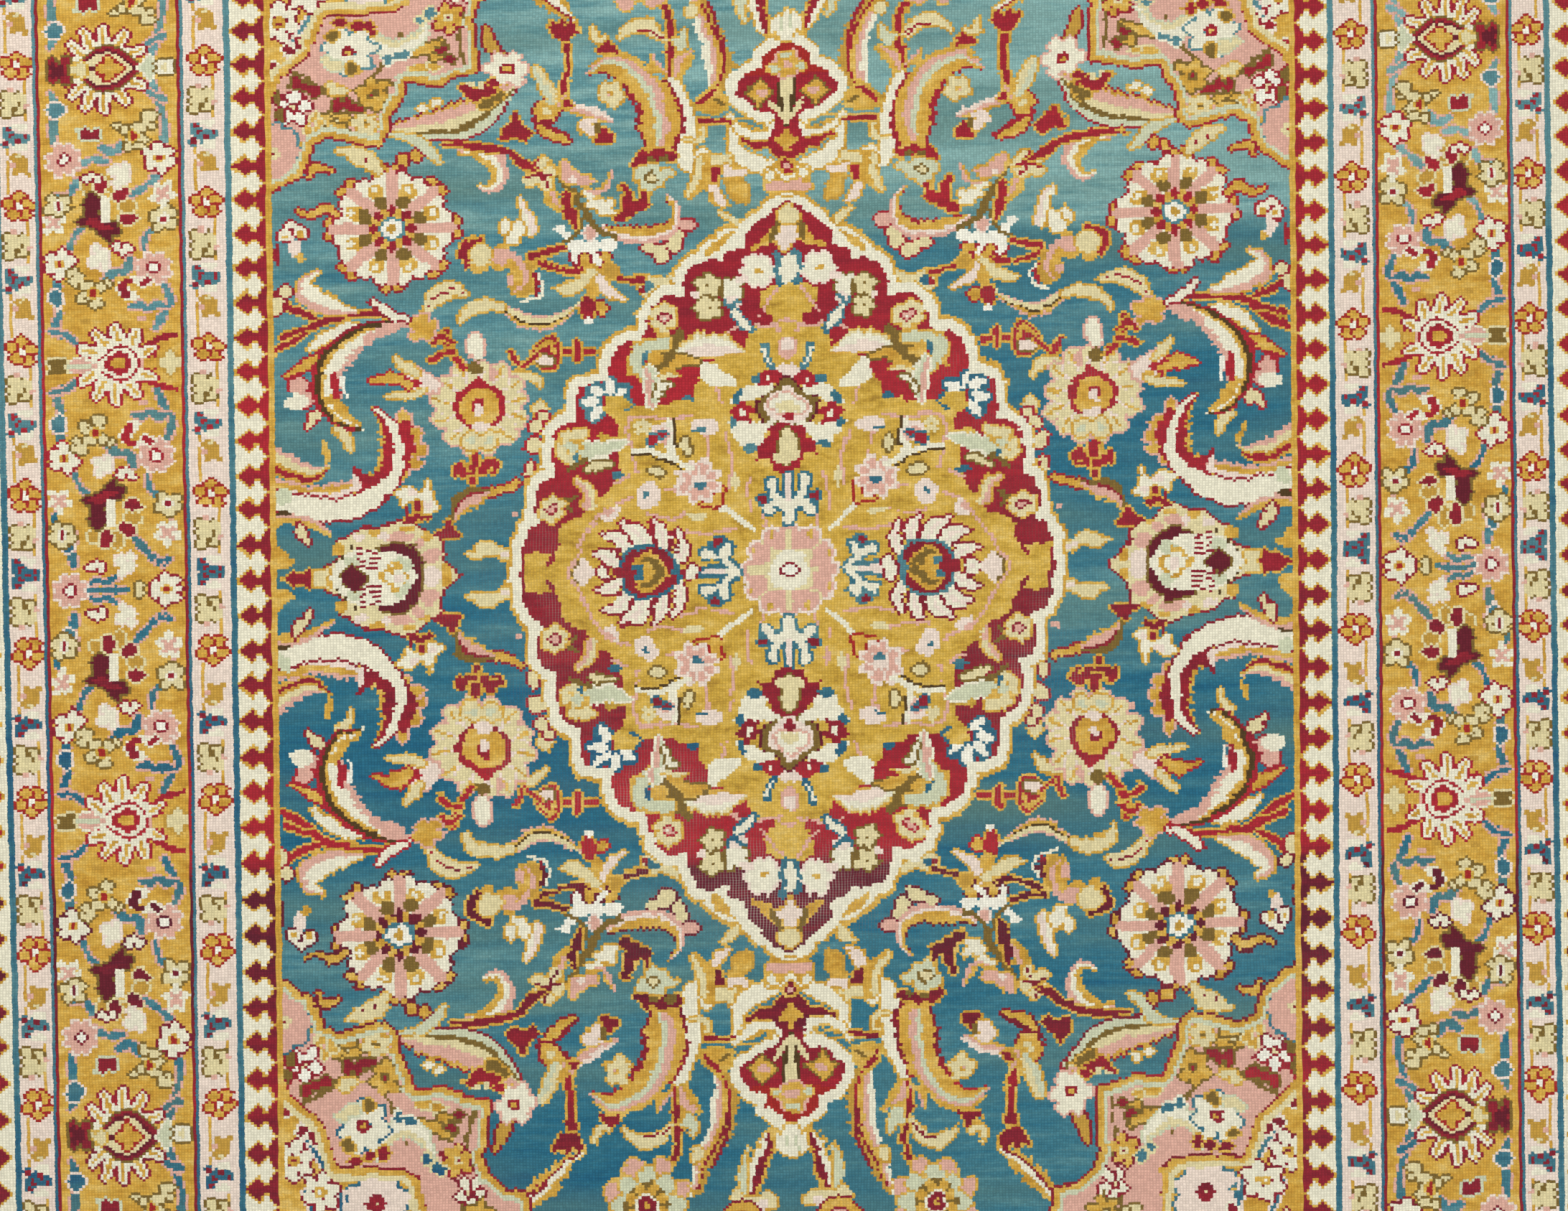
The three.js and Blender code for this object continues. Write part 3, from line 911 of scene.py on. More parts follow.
def pendant():
    """The ivory frame with its dark heart, and the scrolls that carry it."""
    body = inside(page.placed([(-20, 476), (10, 476), (14, 494), (34, 500), (56, 518), (50, 532),
                               (42, 540), (26, 546), (25, 558), (13, 567), (0, 574), (-20, 574)]))
    leaf([(80, 516), (72, 532), (70, 552), (74, 575), (84, 598), (98, 624), (104, 645)],
         [8, 26, 32, 30, 26, 20, 8], [(-0.55, IVORY), (-0.2, PINK), (0.15, GOLD), (0.4, CRIMSON),
                                      (1, OCHRE)], None, 0.25, 11, 1)
    line([(64, 560), (70, 590), (84, 620)], [2, 4, 4], CRIMSON)
    spot(100, 606, 7, 7, CREAM, GOLD)
    below_scrolls = inside(page.placed([(-30, 474), (90, 474), (90, 640), (-30, 640)]))
    scarlet_part = inside(page.placed([(-30, 538), (70, 538), (70, 620), (-30, 620)]))
    frame = spread(body, 12) & below_scrolls
    knot(spread(frame, 3), GOLD)
    knot(frame, IVORY)
    cluster([(0, 584, 9, 9), (8, 596, 7, 8), (-4, 602, 8, 8), (16, 588, 5, 5)], IVORY, GOLD)
    line([(4, 588), (6, 600)], 3, CELADON)
    knot(body, CRIMSON)
    knot(body & scarlet_part, SCARLET)
    line([(16, 434), (32, 440), (47, 448), (56, 462), (58, 482)], [12, 17, 17, 12, 7], IVORY, GOLD)
    line([(13, 480), (20, 470), (34, 468), (47, 476), (60, 490)], [7, 12, 13, 10, 6], IVORY, GOLD)
    line([(8, 447), (20, 459), (34, 461), (47, 468)], [7, 7, 7, 3], CRIMSON, GOLD)
    line([(27, 480), (38, 486), (50, 488)], [3, 6, 3], BLUE, GOLD)
    patch([(54, 436), (84, 436), (88, 448), (58, 450)], CREAM, GOLD)
    line([(86, 450), (96, 438), (105, 450), (105, 480), (111, 505), (119, 532)],
         [12, 16, 19, 20, 17, 12], IVORY, GOLD)
    line([(92, 484), (88, 474), (94, 466), (104, 466)], [4, 6, 6, 2], CREAM, GOLD)
    line([(60, 484), (74, 487), (90, 486)], [4, 6, 4], CRIMSON, GOLD)
    patch([(62, 500), (78, 496), (98, 500), (92, 512), (78, 524), (66, 516)], GOLD, HONEY)
    line([(92, 504), (84, 512), (76, 520)], [3, 7, 3], CRIMSON)
    line([(66, 503), (74, 509)], [3, 5], OLIVE)
    knot(inside(page.placed([(0, 404), (14, 410), (24, 424), (24, 434), (12, 434), (0, 430), (-6, 430),
                             (-6, 404)])), IVORY, GOLD)
    line([(-4, 415), (18, 415)], 10, PINK, GOLD)
    cluster([(0, 427, 7, 5), (17, 427, 5, 5)], IVORY, GOLD)
    patch([(0, 441), (20, 463), (12, 480), (16, 500), (0, 500), (-16, 500), (-20, 463)], CRIMSON)
    cluster([(0, 437, 5, 7)], CRIMSON, GOLD)
    spot(0, 437, 2, 3, PINK)
    patch([(0, 449), (5, 458), (16, 464), (5, 470), (0, 479), (-5, 470), (-16, 464), (-5, 458)], GOLD)
    line([(0, 482), (0, 508), (0, 536)], [7, 13, 21], BROWN)
    line([(0, 482), (0, 508), (0, 536)], [5, 8, 15], CREAM)
    line([(3, 488), (12, 500), (19, 508)], [5, 7, 4], CREAM)
    line([(8, 504), (9, 532)], [3, 4], BROWN)
    patch([(16, 518), (24, 510), (30, 503), (37, 510), (46, 517), (37, 525), (30, 532), (23, 526)],
          GOLD, OLIVE)
    spot(30, 518, 7, 4, PINK)
    bloom(0, 548, 6, 8, 8, 5.5, GOLD, PINK, 0)
    spot(0, 546, 6, 4, PINK)
    cluster([(15, 544, 5, 4), (0, 559, 6, 4)], CELADON, GOLD)
    patch([(43, 398), (58, 402), (57, 420), (66, 424), (52, 428), (43, 418)], GOLD, OCHRE)
    cluster([(50, 431, 8, 5), (60, 432, 5, 5)], BLUSH, GOLD)
    leaf([(64, 396), (72, 404), (77, 416)], [5, 13, 6], BLUSH, GOLD)
    patch([(72, 418), (81, 420), (83, 434), (66, 434)], CRIMSON, GOLD)
    leaf([(86, 442), (88, 424), (100, 404)], [14, 18, 6], [(-0.2, GOLD), (1, CREAM)], GOLD)
    leaf([(22, 584), (27, 600), (34, 620), (40, 641)], [5, 16, 20, 10],
         [(-0.1, IVORY), (0.9, CRIMSON), (1, GOLD)], GOLD)
    leaf([(44, 598), (50, 620), (48, 642)], [4, 10, 6], CELADON, GOLD)
    cluster([(22, 650, 10, 8), (38, 652, 10, 8), (54, 648, 9, 7)], CREAM, GOLD)
    cluster([(28, 656, 7, 5), (46, 656, 6, 5)], BLUSH)
    blob([(30, 668), (36, 656), (52, 652), (68, 657), (75, 670), (70, 690), (52, 698), (36, 690)], GOLD,
         CRIMSON)
    spot(52, 674, 11, 11, PINK, CRIMSON)
    spot(52, 674, 5, 5, CREAM)

# %% [markdown]
# The long leaves beside the pendant, with the low rosette between them.

# %% Long leaves beside the pendant
def little_bloom(u, v, colour, heart, rim=GOLD):
    """A flower of five petals."""
    bloom(u, v, 5, 8, 7, 5.5, colour, rim, 54)
    spot(u, v, 4, 3.6, heart)


def big_rosette(u, v):
    """The low rosette with two rows of petals."""
    bloom(u, v, 8, 34, 13, 11, PINK, GOLD, 22.5)
    bloom(u, v, 8, 26, 12, 9, CELADON, GOLD, 0)
    spot(u, v, 24, 23, OLIVE)
    bloom(u, v, 8, 17, 7, 5, GOLD, None, 22.5)
    spot(u, v, 10, 9.5, CRIMSON, IVORY)
    spot(u, v, 4, 3.4, GOLD)


def feather_leaf():
    """The big leaf that curls under itself, with a toothed dark edge on both sides."""
    leaf([(122, 450), (119, 475), (120, 500), (128, 526)], [8, 20, 20, 8], [(0.82, GOLD), (1, CRIMSON)],
         CRIMSON, 0.3, 12, 1)
    leaf([(140, 452), (141, 478), (144, 505), (155, 530), (172, 544), (190, 549), (208, 540)],
         [20, 38, 36, 36, 32, 24, 5],
         [(-0.66, CRIMSON), (0.15, GOLD), (0.5, CELADON), (1, PINK)], None, 0.3, 12, -1)
    line([(129, 520), (140, 540), (160, 556), (186, 562), (206, 550)], [3, 5, 6, 6, 3], GOLD)
    cluster([(120, 448, 7, 6), (134, 450, 9, 6), (150, 446, 7, 7), (158, 440, 4, 5)], CRIMSON, GOLD)
    cluster([(127, 446, 5, 4), (142, 444, 6, 4)], OLIVE)
    cluster([(133, 424, 7, 8), (146, 418, 9, 7), (152, 430, 8, 8), (140, 434, 8, 7), (122, 430, 6, 5)],
            CELADON, GOLD)
    spot(143, 427, 5, 4, CREAM, OLIVE)


def lower_spray():
    """The feather leaf with everything that grows beside it."""
    feather_leaf()
    little_bloom(182, 518, CREAM, GOLD)
    spot(183, 517, 2, 2, PINK)
    line([(122, 538), (123, 560), (121, 585), (125, 603), (130, 616)], [5, 7, 7, 6, 5], CRIMSON, GOLD)
    leaf([(114, 538), (110, 550), (98, 561)], [8, 17, 3], [(0, PINK), (1, GOLD)], HONEY)
    leaf([(128, 540), (138, 548), (142, 560)], [6, 13, 3], [(0.2, GOLD), (1, PINK)])
    leaf([(118, 574), (110, 568), (104, 584)], [5, 12, 5], CELADON, GOLD)
    leaf([(127, 573), (140, 588), (158, 594), (179, 580)], [4, 14, 14, 3], CREAM, GOLD, 0.3, 8, 1)
    line([(130, 577), (144, 586), (160, 589)], [2, 3, 2], CRIMSON)
    patch([(180, 562), (192, 566), (203, 562), (199, 574), (194, 584), (188, 574), (182, 572)], CRIMSON,
          GOLD)
    leaf([(194, 580), (202, 578), (206, 592)], [4, 9, 3], CREAM, GOLD)
    big_rosette(154, 655)
    leaf([(183, 484), (194, 490), (212, 500), (233, 505), (246, 500)], [4, 15, 16, 13, 4],
         [(-0.5, GOLD), (0.1, PINK), (1, BLUSH)], None)
    cluster([(187, 467, 6, 5), (196, 465, 6, 4), (193, 474, 5, 5)], CRIMSON, GOLD)
    cluster([(206, 476, 6, 6), (212, 484, 5, 7), (204, 487, 5, 5)], BLUSH, GOLD)
    spot(199, 478, 4, 5, OLIVE)
    leaf([(226, 463), (238, 470), (252, 478), (263, 492)], [5, 15, 14, 4],
         [(-0.1, GOLD), (0.5, HONEY), (1, CRIMSON)], CRIMSON)
    bloom(252, 500, 6, 8, 6, 5, GOLD, CRIMSON, 0)
    spot(252, 500, 5, 4.5, CREAM, GOLD)
    patch([(224, 504), (238, 506), (236, 516), (228, 513)], CRIMSON, GOLD)
    leaf([(240, 508), (236, 522), (230, 534)], [5, 14, 4], [(0, GOLD), (1, PINK)], HONEY)
    leaf([(246, 512), (254, 528), (262, 546)], [9, 21, 9], [(0, CELADON), (1, CREAM)], GOLD)
    line([(234, 524), (231, 545), (231, 562), (233, 582)], [4, 8, 8, 7], CRIMSON, GOLD)
    patch([(222, 590), (232, 580), (240, 582), (247, 590), (251, 603), (242, 598), (238, 606),
           (232, 597), (222, 604)], CRIMSON, GOLD)
    leaf([(222, 602), (240, 616), (260, 634), (292, 664)], [5, 22, 26, 8],
         [(-0.4, GOLD), (-0.1, CRIMSON), (0.4, IVORY), (1, GOLD)], None, 0.3, 13)
    cluster([(176, 386, 8, 6), (166, 393, 8, 8), (154, 398, 9, 6), (168, 406, 6, 9), (172, 416, 4, 5),
             (150, 408, 4, 5)], CRIMSON, GOLD)
    line([(180, 362), (196, 368), (205, 378), (213, 395), (226, 412), (237, 428)], [4, 6, 7, 8, 7, 4],
         OLIVE)
    cluster([(190, 392, 8, 4), (198, 400, 10, 5), (206, 410, 8, 4), (186, 400, 5, 4)], IVORY, GOLD)
    leaf([(207, 412), (192, 418), (184, 434)], [4, 11, 4], [(0, GOLD), (1, PINK)])
    cluster([(212, 424, 9, 6), (224, 428, 9, 7), (230, 436, 5, 6)], PINK, GOLD)
    spot(222, 425, 5, 3, BLUSH)
    leaf([(222, 372), (226, 388), (229, 408)], [4, 13, 8], CRIMSON, GOLD)
    leaf([(236, 394), (244, 404), (246, 424)], [5, 13, 5], [(0, GOLD), (1, PINK)], HONEY)
    leaf([(236, 372), (242, 372), (233, 364), (228, 366)], [6, 8, 8, 4], WHITE)
    cluster([(250, 420, 6, 8), (258, 428, 8, 8), (266, 424, 8, 5), (258, 442, 8, 6), (246, 434, 7, 5),
             (266, 436, 7, 5)], CREAM, GOLD)
    line([(246, 416), (256, 430), (262, 448)], [2, 3.4, 3], CRIMSON)
    line([(244, 430), (256, 432), (270, 428)], [2, 3, 3], CRIMSON)
    leaf([(270, 372), (274, 390), (280, 402)], [14, 13, 6], [(0, IVORY), (1, BLUSH)], GOLD)
    cluster([(282, 372, 6, 8), (296, 376, 6, 7), (288, 364, 7, 5)], IVORY, GOLD)


def lower_right():
    """The big leaf under the corner piece, and its red stems."""
    leaf([(345, 456), (325, 458), (308, 448), (300, 432), (310, 415), (326, 418)],
         [4, 16, 22, 20, 14, 4], [(-0.3, PINK), (0.3, IVORY), (1, GOLD)], None, 0.2, 9, -1)
    line([(262, 436), (276, 444), (292, 456), (325, 463), (360, 463)], [5, 11, 7, 7, 4], CRIMSON, GOLD)
    patch([(266, 478), (272, 466), (282, 474), (298, 468), (296, 482), (288, 490), (285, 501),
           (278, 488)], CRIMSON, GOLD)
    leaf([(288, 528), (303, 516), (326, 500), (352, 490), (386, 484), (418, 481)],
         [6, 26, 42, 42, 30, 6], [(-0.62, CELADON), (-0.38, OLIVE), (0.05, CREAM), (0.78, PINK),
                                  (1, GOLD)], CRIMSON, 0.25, 14, 1)
    cluster([(316, 508, 8, 7), (306, 516, 7, 6)], OLIVE, GOLD)
    cluster([(370, 512, 6, 4), (384, 506, 5, 4)], IVORY, GOLD)
    leaf([(296, 562), (306, 578), (312, 596)], [8, 16, 6], OCHRE, CRIMSON)
    bloom(294, 548, 6, 14, 9, 7, IVORY, PINK, 0)
    spot(294, 548, 7, 6, CRIMSON)
    spot(294, 548, 3.4, 3, GOLD)
    cluster([(318, 522, 10, 6), (330, 518, 8, 7), (310, 530, 6, 4), (340, 526, 6, 4)], CRIMSON, GOLD)
    cluster([(324, 528, 4, 4), (334, 530, 5, 3)], CREAM)
    leaf([(365, 446), (376, 458), (390, 470), (414, 477)], [4, 14, 13, 3], CELADON, GOLD)
    leaf([(428, 438), (440, 450), (454, 458), (468, 462)], [8, 20, 18, 6], CREAM, GOLD)
    spot(440, 448, 2.4, 2.4, CRIMSON)
    spot(452, 454, 2.4, 2.4, CRIMSON)
    leaf([(478, 440), (492, 444), (500, 432)], [4, 10, 3], GOLD, CRIMSON)
    cluster([(388, 452, 6, 6), (402, 448, 6, 6)], GOLD, CRIMSON)

# %% [markdown]
# The photo ends about 560 mm from the middle. What comes past it is the same again, mirrored
# about a line 700 mm from the middle.

# %% The same again past the photo
MIRROR_LINE = 700
for page.shift, page.flip in (((0, 2 * MIRROR_LINE), -1), ((0, 0), 1)):
    pendant()
    lower_spray()
    lower_right()
tied("leaves and pendants")

# %% [markdown]
# The corner piece: its scalloped edge, the edge of its gold part, and what grows on both.

# %% Corner piece
FIELD_END = 976
SPANDREL = [(96, 990), (112, 962), (138, 944), (150, 910), (176, 888), (196, 884), (204, 858),
            (222, 834), (244, 826), (250, 796), (262, 768), (282, 756), (280, 726), (272, 700),
            (276, 665), (280, 642), (300, 640), (318, 624), (325, 608), (323, 542), (345, 541),
            (366, 531), (400, 536), (405, 518), (414, 500), (418, 476), (430, 465), (450, 470),
            (480, 478), (495, 470), (500, 450), (505, 440), (532, 420), (545, 418), (545, 990)]
INNER = [(262, 990), (272, 952), (300, 930), (306, 896), (334, 872), (342, 836), (362, 806), (364, 770),
         (384, 744), (382, 700), (390, 665), (395, 622), (410, 613), (480, 613), (486, 600), (495, 570),
         (512, 555), (530, 540), (538, 520), (545, 505), (545, 990)]


def within(mask, margin):
    """The part of a corner's ground that lies so far inside its scalloped edge."""
    to_border = page.across > FIELD_LIMIT
    return shrunk(mask | to_border, margin) & ~to_border


def two_leaves(u, v, turn, colour, edge):
    """A pair of small leaves on a short stem."""
    c, s = math.cos(math.radians(turn)), math.sin(math.radians(turn))
    for side in (-1, 1):
        spot(u + 7 * c - side * 6 * s, v + 7 * s + side * 6 * c, 8, 4.4, colour, edge, turn + side * 40)


def star_flower(u, v, petals, reach, colour, edge, heart, dot):
    """A star of pointed petals with a dot in its heart."""
    bloom(u, v, petals, reach, reach * 0.62, reach * 0.45, colour, edge, 18)
    spot(u, v, reach * 0.45, reach * 0.42, heart)
    spot(u, v, 2.4, 2.4, dot)


def pink_ground():
    """Flowers and leaves on the pink ground of the corner."""
    for points in ([(440, 500), (456, 512), (478, 524), (500, 540), (524, 552)],
                   [(338, 556), (342, 588), (336, 620)],
                   [(352, 640), (344, 700), (334, 760), (300, 820), (262, 878), (232, 930)],
                   [(430, 545), (420, 560), (404, 590)]):
        line(points, [2.5, 5, 4, 5, 2.5], OLIVE)
    star_flower(441, 490, 6, 9, CREAM, GOLD, GOLD, OLIVE)
    star_flower(471, 495, 5, 10, GOLD, OLIVE, OLIVE, CREAM)
    star_flower(494, 491, 5, 8, GOLD, CREAM, CREAM, PINK)
    star_flower(431, 523, 6, 12, GOLD, OLIVE, OLIVE, CRIMSON)
    cluster([(450, 508, 8, 4), (458, 514, 5, 6), (470, 512, 5, 8)], CRIMSON, OLIVE)
    cluster([(468, 528, 9, 5), (476, 533, 6, 5)], CREAM, GOLD)
    star_flower(515, 508, 5, 12, WHITE, CRIMSON, CRIMSON, CREAM)
    cluster([(492, 527, 7, 5), (504, 530, 7, 4), (514, 536, 4, 8)], CRIMSON, OLIVE)
    cluster([(522, 452, 7, 5), (530, 460, 5, 6), (524, 470, 7, 5)], TEAL, CREAM)
    cluster([(512, 470, 4, 7), (534, 440, 4, 5)], CELADON, GOLD)
    cluster([(530, 500, 6, 8), (534, 520, 5, 9)], OLIVE, CRIMSON)
    cluster([(388, 548, 9, 6), (372, 552, 6, 5)], GOLD, CREAM)
    two_leaves(356, 568, 20, GOLD, OLIVE)
    cluster([(352, 560, 5, 5), (362, 572, 6, 4)], CRIMSON, OLIVE)
    leaf([(364, 578), (380, 572), (396, 566)], [5, 13, 5], GOLD, OLIVE)
    leaf([(378, 596), (392, 580), (414, 574), (436, 590), (436, 606)], [6, 16, 19, 16, 4],
         [(0.2, IVORY), (1, CREAM)], CELADON, 0.25, 9, 1)
    cluster([(404, 566, 7, 4), (416, 562, 5, 5)], TEAL, IVORY)
    star_flower(454, 573, 7, 17, IVORY, TEAL, CRIMSON, GOLD)
    cluster([(468, 556, 9, 6), (478, 562, 5, 5)], CREAM, CELADON)
    cluster([(450, 552, 5, 7), (470, 592, 6, 6)], OLIVE, GOLD)
    cluster([(432, 598, 5, 8), (444, 602, 6, 5), (462, 606, 7, 4)], CRIMSON, GOLD)
    star_flower(354, 606, 6, 11, GOLD, CRIMSON, CREAM, CRIMSON)
    cluster([(372, 612, 6, 6), (384, 604, 5, 5)], TEAL, CREAM)
    for u, v, turn in ((356, 662, 60), (328, 722, 120), (372, 716, 300), (306, 788, 60),
                       (346, 790, 330), (262, 838, 120), (300, 856, 320), (216, 898, 130),
                       (256, 900, 320), (180, 944, 120), (222, 956, 330)):
        two_leaves(u, v, turn, CREAM, OLIVE)
    places = [(340, 640), (352, 690), (312, 698), (330, 752), (286, 800), (318, 822), (268, 866),
              (234, 858), (240, 920), (196, 914), (206, 962), (150, 968), (290, 756), (330, 668)]
    for i, (u, v) in enumerate(places):
        petal, edge = ((IVORY, CRIMSON), (GOLD, OLIVE), (CREAM, TEAL))[i % 3]
        star_flower(u, v, 5 + i % 2, 11 + i % 3, petal, edge, (CRIMSON, OLIVE)[i % 2], CREAM)


def gold_ground():
    """Flowers on the gold ground in the corner's corner."""
    star_flower(440, 652, 8, 22, BLUSH, TEAL, CRIMSON, CREAM)
    star_flower(528, 607, 6, 14, IVORY, CRIMSON, GOLD, CRIMSON)
    for points in ([(520, 572), (505, 600), (480, 640), (470, 700), (440, 760), (450, 820), (420, 890),
                    (360, 950)], [(520, 640), (500, 700), (510, 760), (490, 840), (500, 920)]):
        line(points, [3, 5, 4, 5, 3], TEAL, BLUSH)
    for u, v, turn in ((508, 574, 60), (530, 560, 300), (474, 680, 200), (500, 730, 20),
                       (430, 790, 130), (470, 800, 10), (480, 870, 160), (520, 880, 20),
                       (396, 880, 120), (430, 940, 60)):
        two_leaves(u, v, turn, CRIMSON, IVORY)
    places = [(500, 640), (420, 720), (526, 690), (470, 744), (400, 810), (526, 800), (460, 850),
              (370, 900), (436, 900), (520, 930), (380, 962), (470, 956), (310, 962)]
    for i, (u, v) in enumerate(places):
        petal = (IVORY, PINK, CREAM)[i % 3]
        star_flower(u, v, 6, 14 + 2 * (i % 2), petal, CRIMSON, (GOLD, CRIMSON)[i % 2], WHITE)


def spandrel():
    """The corner piece: a pink ground, and a gold one inside it."""
    in_field = (page.across < FIELD_LIMIT) & (page.along < FIELD_END)
    page.only = in_field
    ground = inside(SPANDREL) & (page.across < FIELD_LIMIT)
    knot(ground, CRIMSON, CRIMSON)
    knot(within(ground, 0.1), GOLD)
    knot(within(ground, 8), CELADON)
    pink = within(ground, 11.5)
    knot(pink, PINK)
    page.only = pink & (page.along < FIELD_END)
    pink_ground()
    star_flower(538, 462, 9, 20, PINK, TEAL, CREAM, CRIMSON)
    inner = inside(INNER) & (page.across < FIELD_LIMIT)
    knot(inner, CRIMSON)
    knot(within(inner, 3), GOLD)
    knot(within(inner, 9), CREAM)
    gold = within(inner, 15)
    knot(gold, GOLD)
    page.only = gold & (page.along < FIELD_END)
    gold_ground()


spandrel()
page.only = np.ones(page.knots.shape, bool)
print("colours in a quarter:", len(np.unique(page.knots)))

# %% [markdown]
# ## Borders
#
# The side border is charted once, as a strip from the field's edge to the side cord. Its
# flowers repeat, each time mirrored, so one repeat is drawn and then folded along the rug.

# %% Main border
quarter = page
MAIN_FROM, MAIN_TO, MAIN_REPEAT = 633.0, 774.0, 567.0
page = Page(44, 210, MAIN_FROM)


def vine(*points, width=5.5):
    """A teal stem, now thick and now thin, with a pale rim."""
    swell = [0.9, 1.35, 0.75, 1.3, 0.7]
    line(list(points), [width * share + 4 for share in swell], PINK)
    line(list(points), [width * share for share in swell], BLUE)


def white_flower(u, v):
    """Six ivory petals with red rims."""
    bloom(u, v, 6, 10.5, 6.5, 6, IVORY, CRIMSON, 20)
    ringed(u, v, 3, 13, lambda x, y, a: spot(x, y, 2, 2, CRIMSON), 50)
    spot(u, v, 6, 4.6, GOLD)
    spot(u, v, 2.6, 3.2, SCARLET)


def pink_flower(u, v):
    """A full pink flower with a white eye."""
    bloom(u, v, 8, 14, 6.5, 6, BLUSH, None, 22.5)
    spot(u, v, 14, 13.5, PINK)
    ringed(u, v, 8, 14, lambda x, y, a: spot(x, y, 4.4, 3.8, PINK), 22.5)
    spot(u, v, 5.5, 4.6, WHITE, CRIMSON)


def pale_star(u, v):
    """An ivory patch with a pink star in it."""
    bloom(u, v, 5, 9, 6.5, 5, IVORY, None, 54)
    bloom(u, v, 4, 5, 5, 2.4, PINK, None, 45)


def small_flower(u, v, edge=CRIMSON):
    """Three ivory petals."""
    cluster([(u - 5.5, v - 1, 4.5, 5), (u + 5.5, v, 4.5, 4.5), (u, v + 2, 4, 5)], IVORY, edge)
    spot(u, v - 2, 2, 2, edge)


def cream_flower(u, v):
    """Five cream petals with olive rims."""
    cluster([(u - 7, v + 6, 6, 5), (u + 5, v + 8, 5, 5), (u + 8, v - 3, 5, 6), (u - 1, v - 9, 6, 5),
             (u - 9, v - 4, 5, 5)], CREAM, OLIVE)
    spot(u, v, 2, 6, CRIMSON, IVORY)


def ivory_cloud(u, v):
    """An ivory patch with a pale rim."""
    lumps = [(u - 5, v + 8, 4.5, 5), (u + 5, v + 4, 6.5, 6), (u - 2, v - 2, 7.5, 6),
             (u + 4, v - 9, 4, 4)]
    cluster([(x, y, wide + 2.2, long + 2.2) for x, y, wide, long in lumps], BLUSH)
    cluster(lumps, IVORY)


def sprig(u, v, side):
    """An oak-like cream leaf, its lobes edged with olive, with a red heart."""
    for across, along, wide, long in ((-14, -10, 5, 3.4), (-6, -6, 6, 4.6), (-2, 12, 7, 4.6),
                                      (10, 5, 7.5, 5), (7, -8, 7.5, 5), (19, -19, 8, 5),
                                      (21, -10, 4, 3.4), (3, 2, 6, 5)):
        spot(u + side * across, v + along, wide, long, CREAM, OLIVE)
    for across, along in ((6, -5), (9, 2), (-4, 6), (15, -14)):
        spot(u + side * across, v + along, 4, 3.2, CREAM)
    spot(u + side, v, 3.4, 5, SCARLET, HONEY)


def red_leaf(u, v):
    """A red leaf on ivory, with a red bud."""
    cluster([(u - 3, v + 10, 8, 6), (u + 5, v + 2, 7, 10), (u - 6, v - 8, 6, 4)], IVORY)
    cluster([(u + 2, v + 7, 6, 5), (u + 5, v, 4, 6), (u - 2, v - 7, 5, 3)], CRIMSON)
    cluster([(u - 20, v - 8, 5, 3), (u - 16, v - 5, 4, 3)], CRIMSON, IVORY)


def daisy(u, v):
    """The flower with red and ochre petals. One side of it has gone dark with age."""
    for across, along, wide, long, turn, colour in (
            (-21, -7, 9, 6, 0, OCHRE), (-5, -30, 6, 10, 0, OCHRE), (19, -25, 6, 9, 30, OCHRE),
            (-22, 7, 9, 6, 0, CRIMSON), (-15, -20, 9, 6.5, 40, CRIMSON), (7, -29, 6.5, 10, 0, CRIMSON)):
        spot(u + across, v + along, wide, long, colour, CREAM, turn)
    blob([(u - 14, v + 26), (u - 8, v + 13), (u + 2, v + 14), (u + 8, v + 4), (u + 6, v - 12),
          (u + 16, v - 19), (u + 24, v - 8), (u + 21, v + 4), (u + 31, v + 13), (u + 16, v + 18),
          (u + 6, v + 27), (u - 2, v + 36), (u - 4, v + 26)], WINE, OLIVE)
    patch([(u - 12, v + 22), (u + 4, v + 14), (u + 12, v + 6), (u + 26, v + 13), (u + 8, v + 20)],
          CRIMSON)
    line([(u + 1, v - 12), (u + 2, v + 10)], [11, 9], IVORY)


def petal_ring(u, v, tips, root, width, rim=CRIMSON):
    """Pointed ivory petals that grow together, with one rim and a gold stripe in each."""
    spines = []
    for across, along in tips:
        reach = math.hypot(across, along)
        bend = (u + 0.62 * across - 0.05 * along, v + 0.62 * along + 0.05 * across)
        spines.append([(u + across * root / reach, v + along * root / reach), bend,
                       (u + across, v + along)])
    masks = [beside(spine, [width * 0.8, width, width * 0.62])[0] for spine in spines]
    for mask in masks:
        knot(mask, IVORY, rim)
    for mask, spine in zip(masks, spines):
        knot(shrunk(mask, RIM / 2) & beside(spine, [width, width])[0], IVORY)
        line(spine, [1, 5, 3], GOLD)


def both_sides(tips):
    """The tips, and the same tips on the other side."""
    return tips + [(across, -along) for across, along in tips]


def mirrored(u, v, half, colour, edge=None):
    """A smooth shape round a middle from one half of its outline, given from one end to the other."""
    other = [(across, -along) for across, along in half[::-1] if along]
    blob([(u + across, v + along) for across, along in half + other], colour, edge)


def pointed(u, v, size, colour):
    """A round shape with a point towards the rug's side."""
    half = [(-0.95, 0), (-0.6, 0.6), (0, 0.85), (0.6, 0.55), (1.2, 0)]
    mirrored(u, v, [(size * across, size * along) for across, along in half], colour)


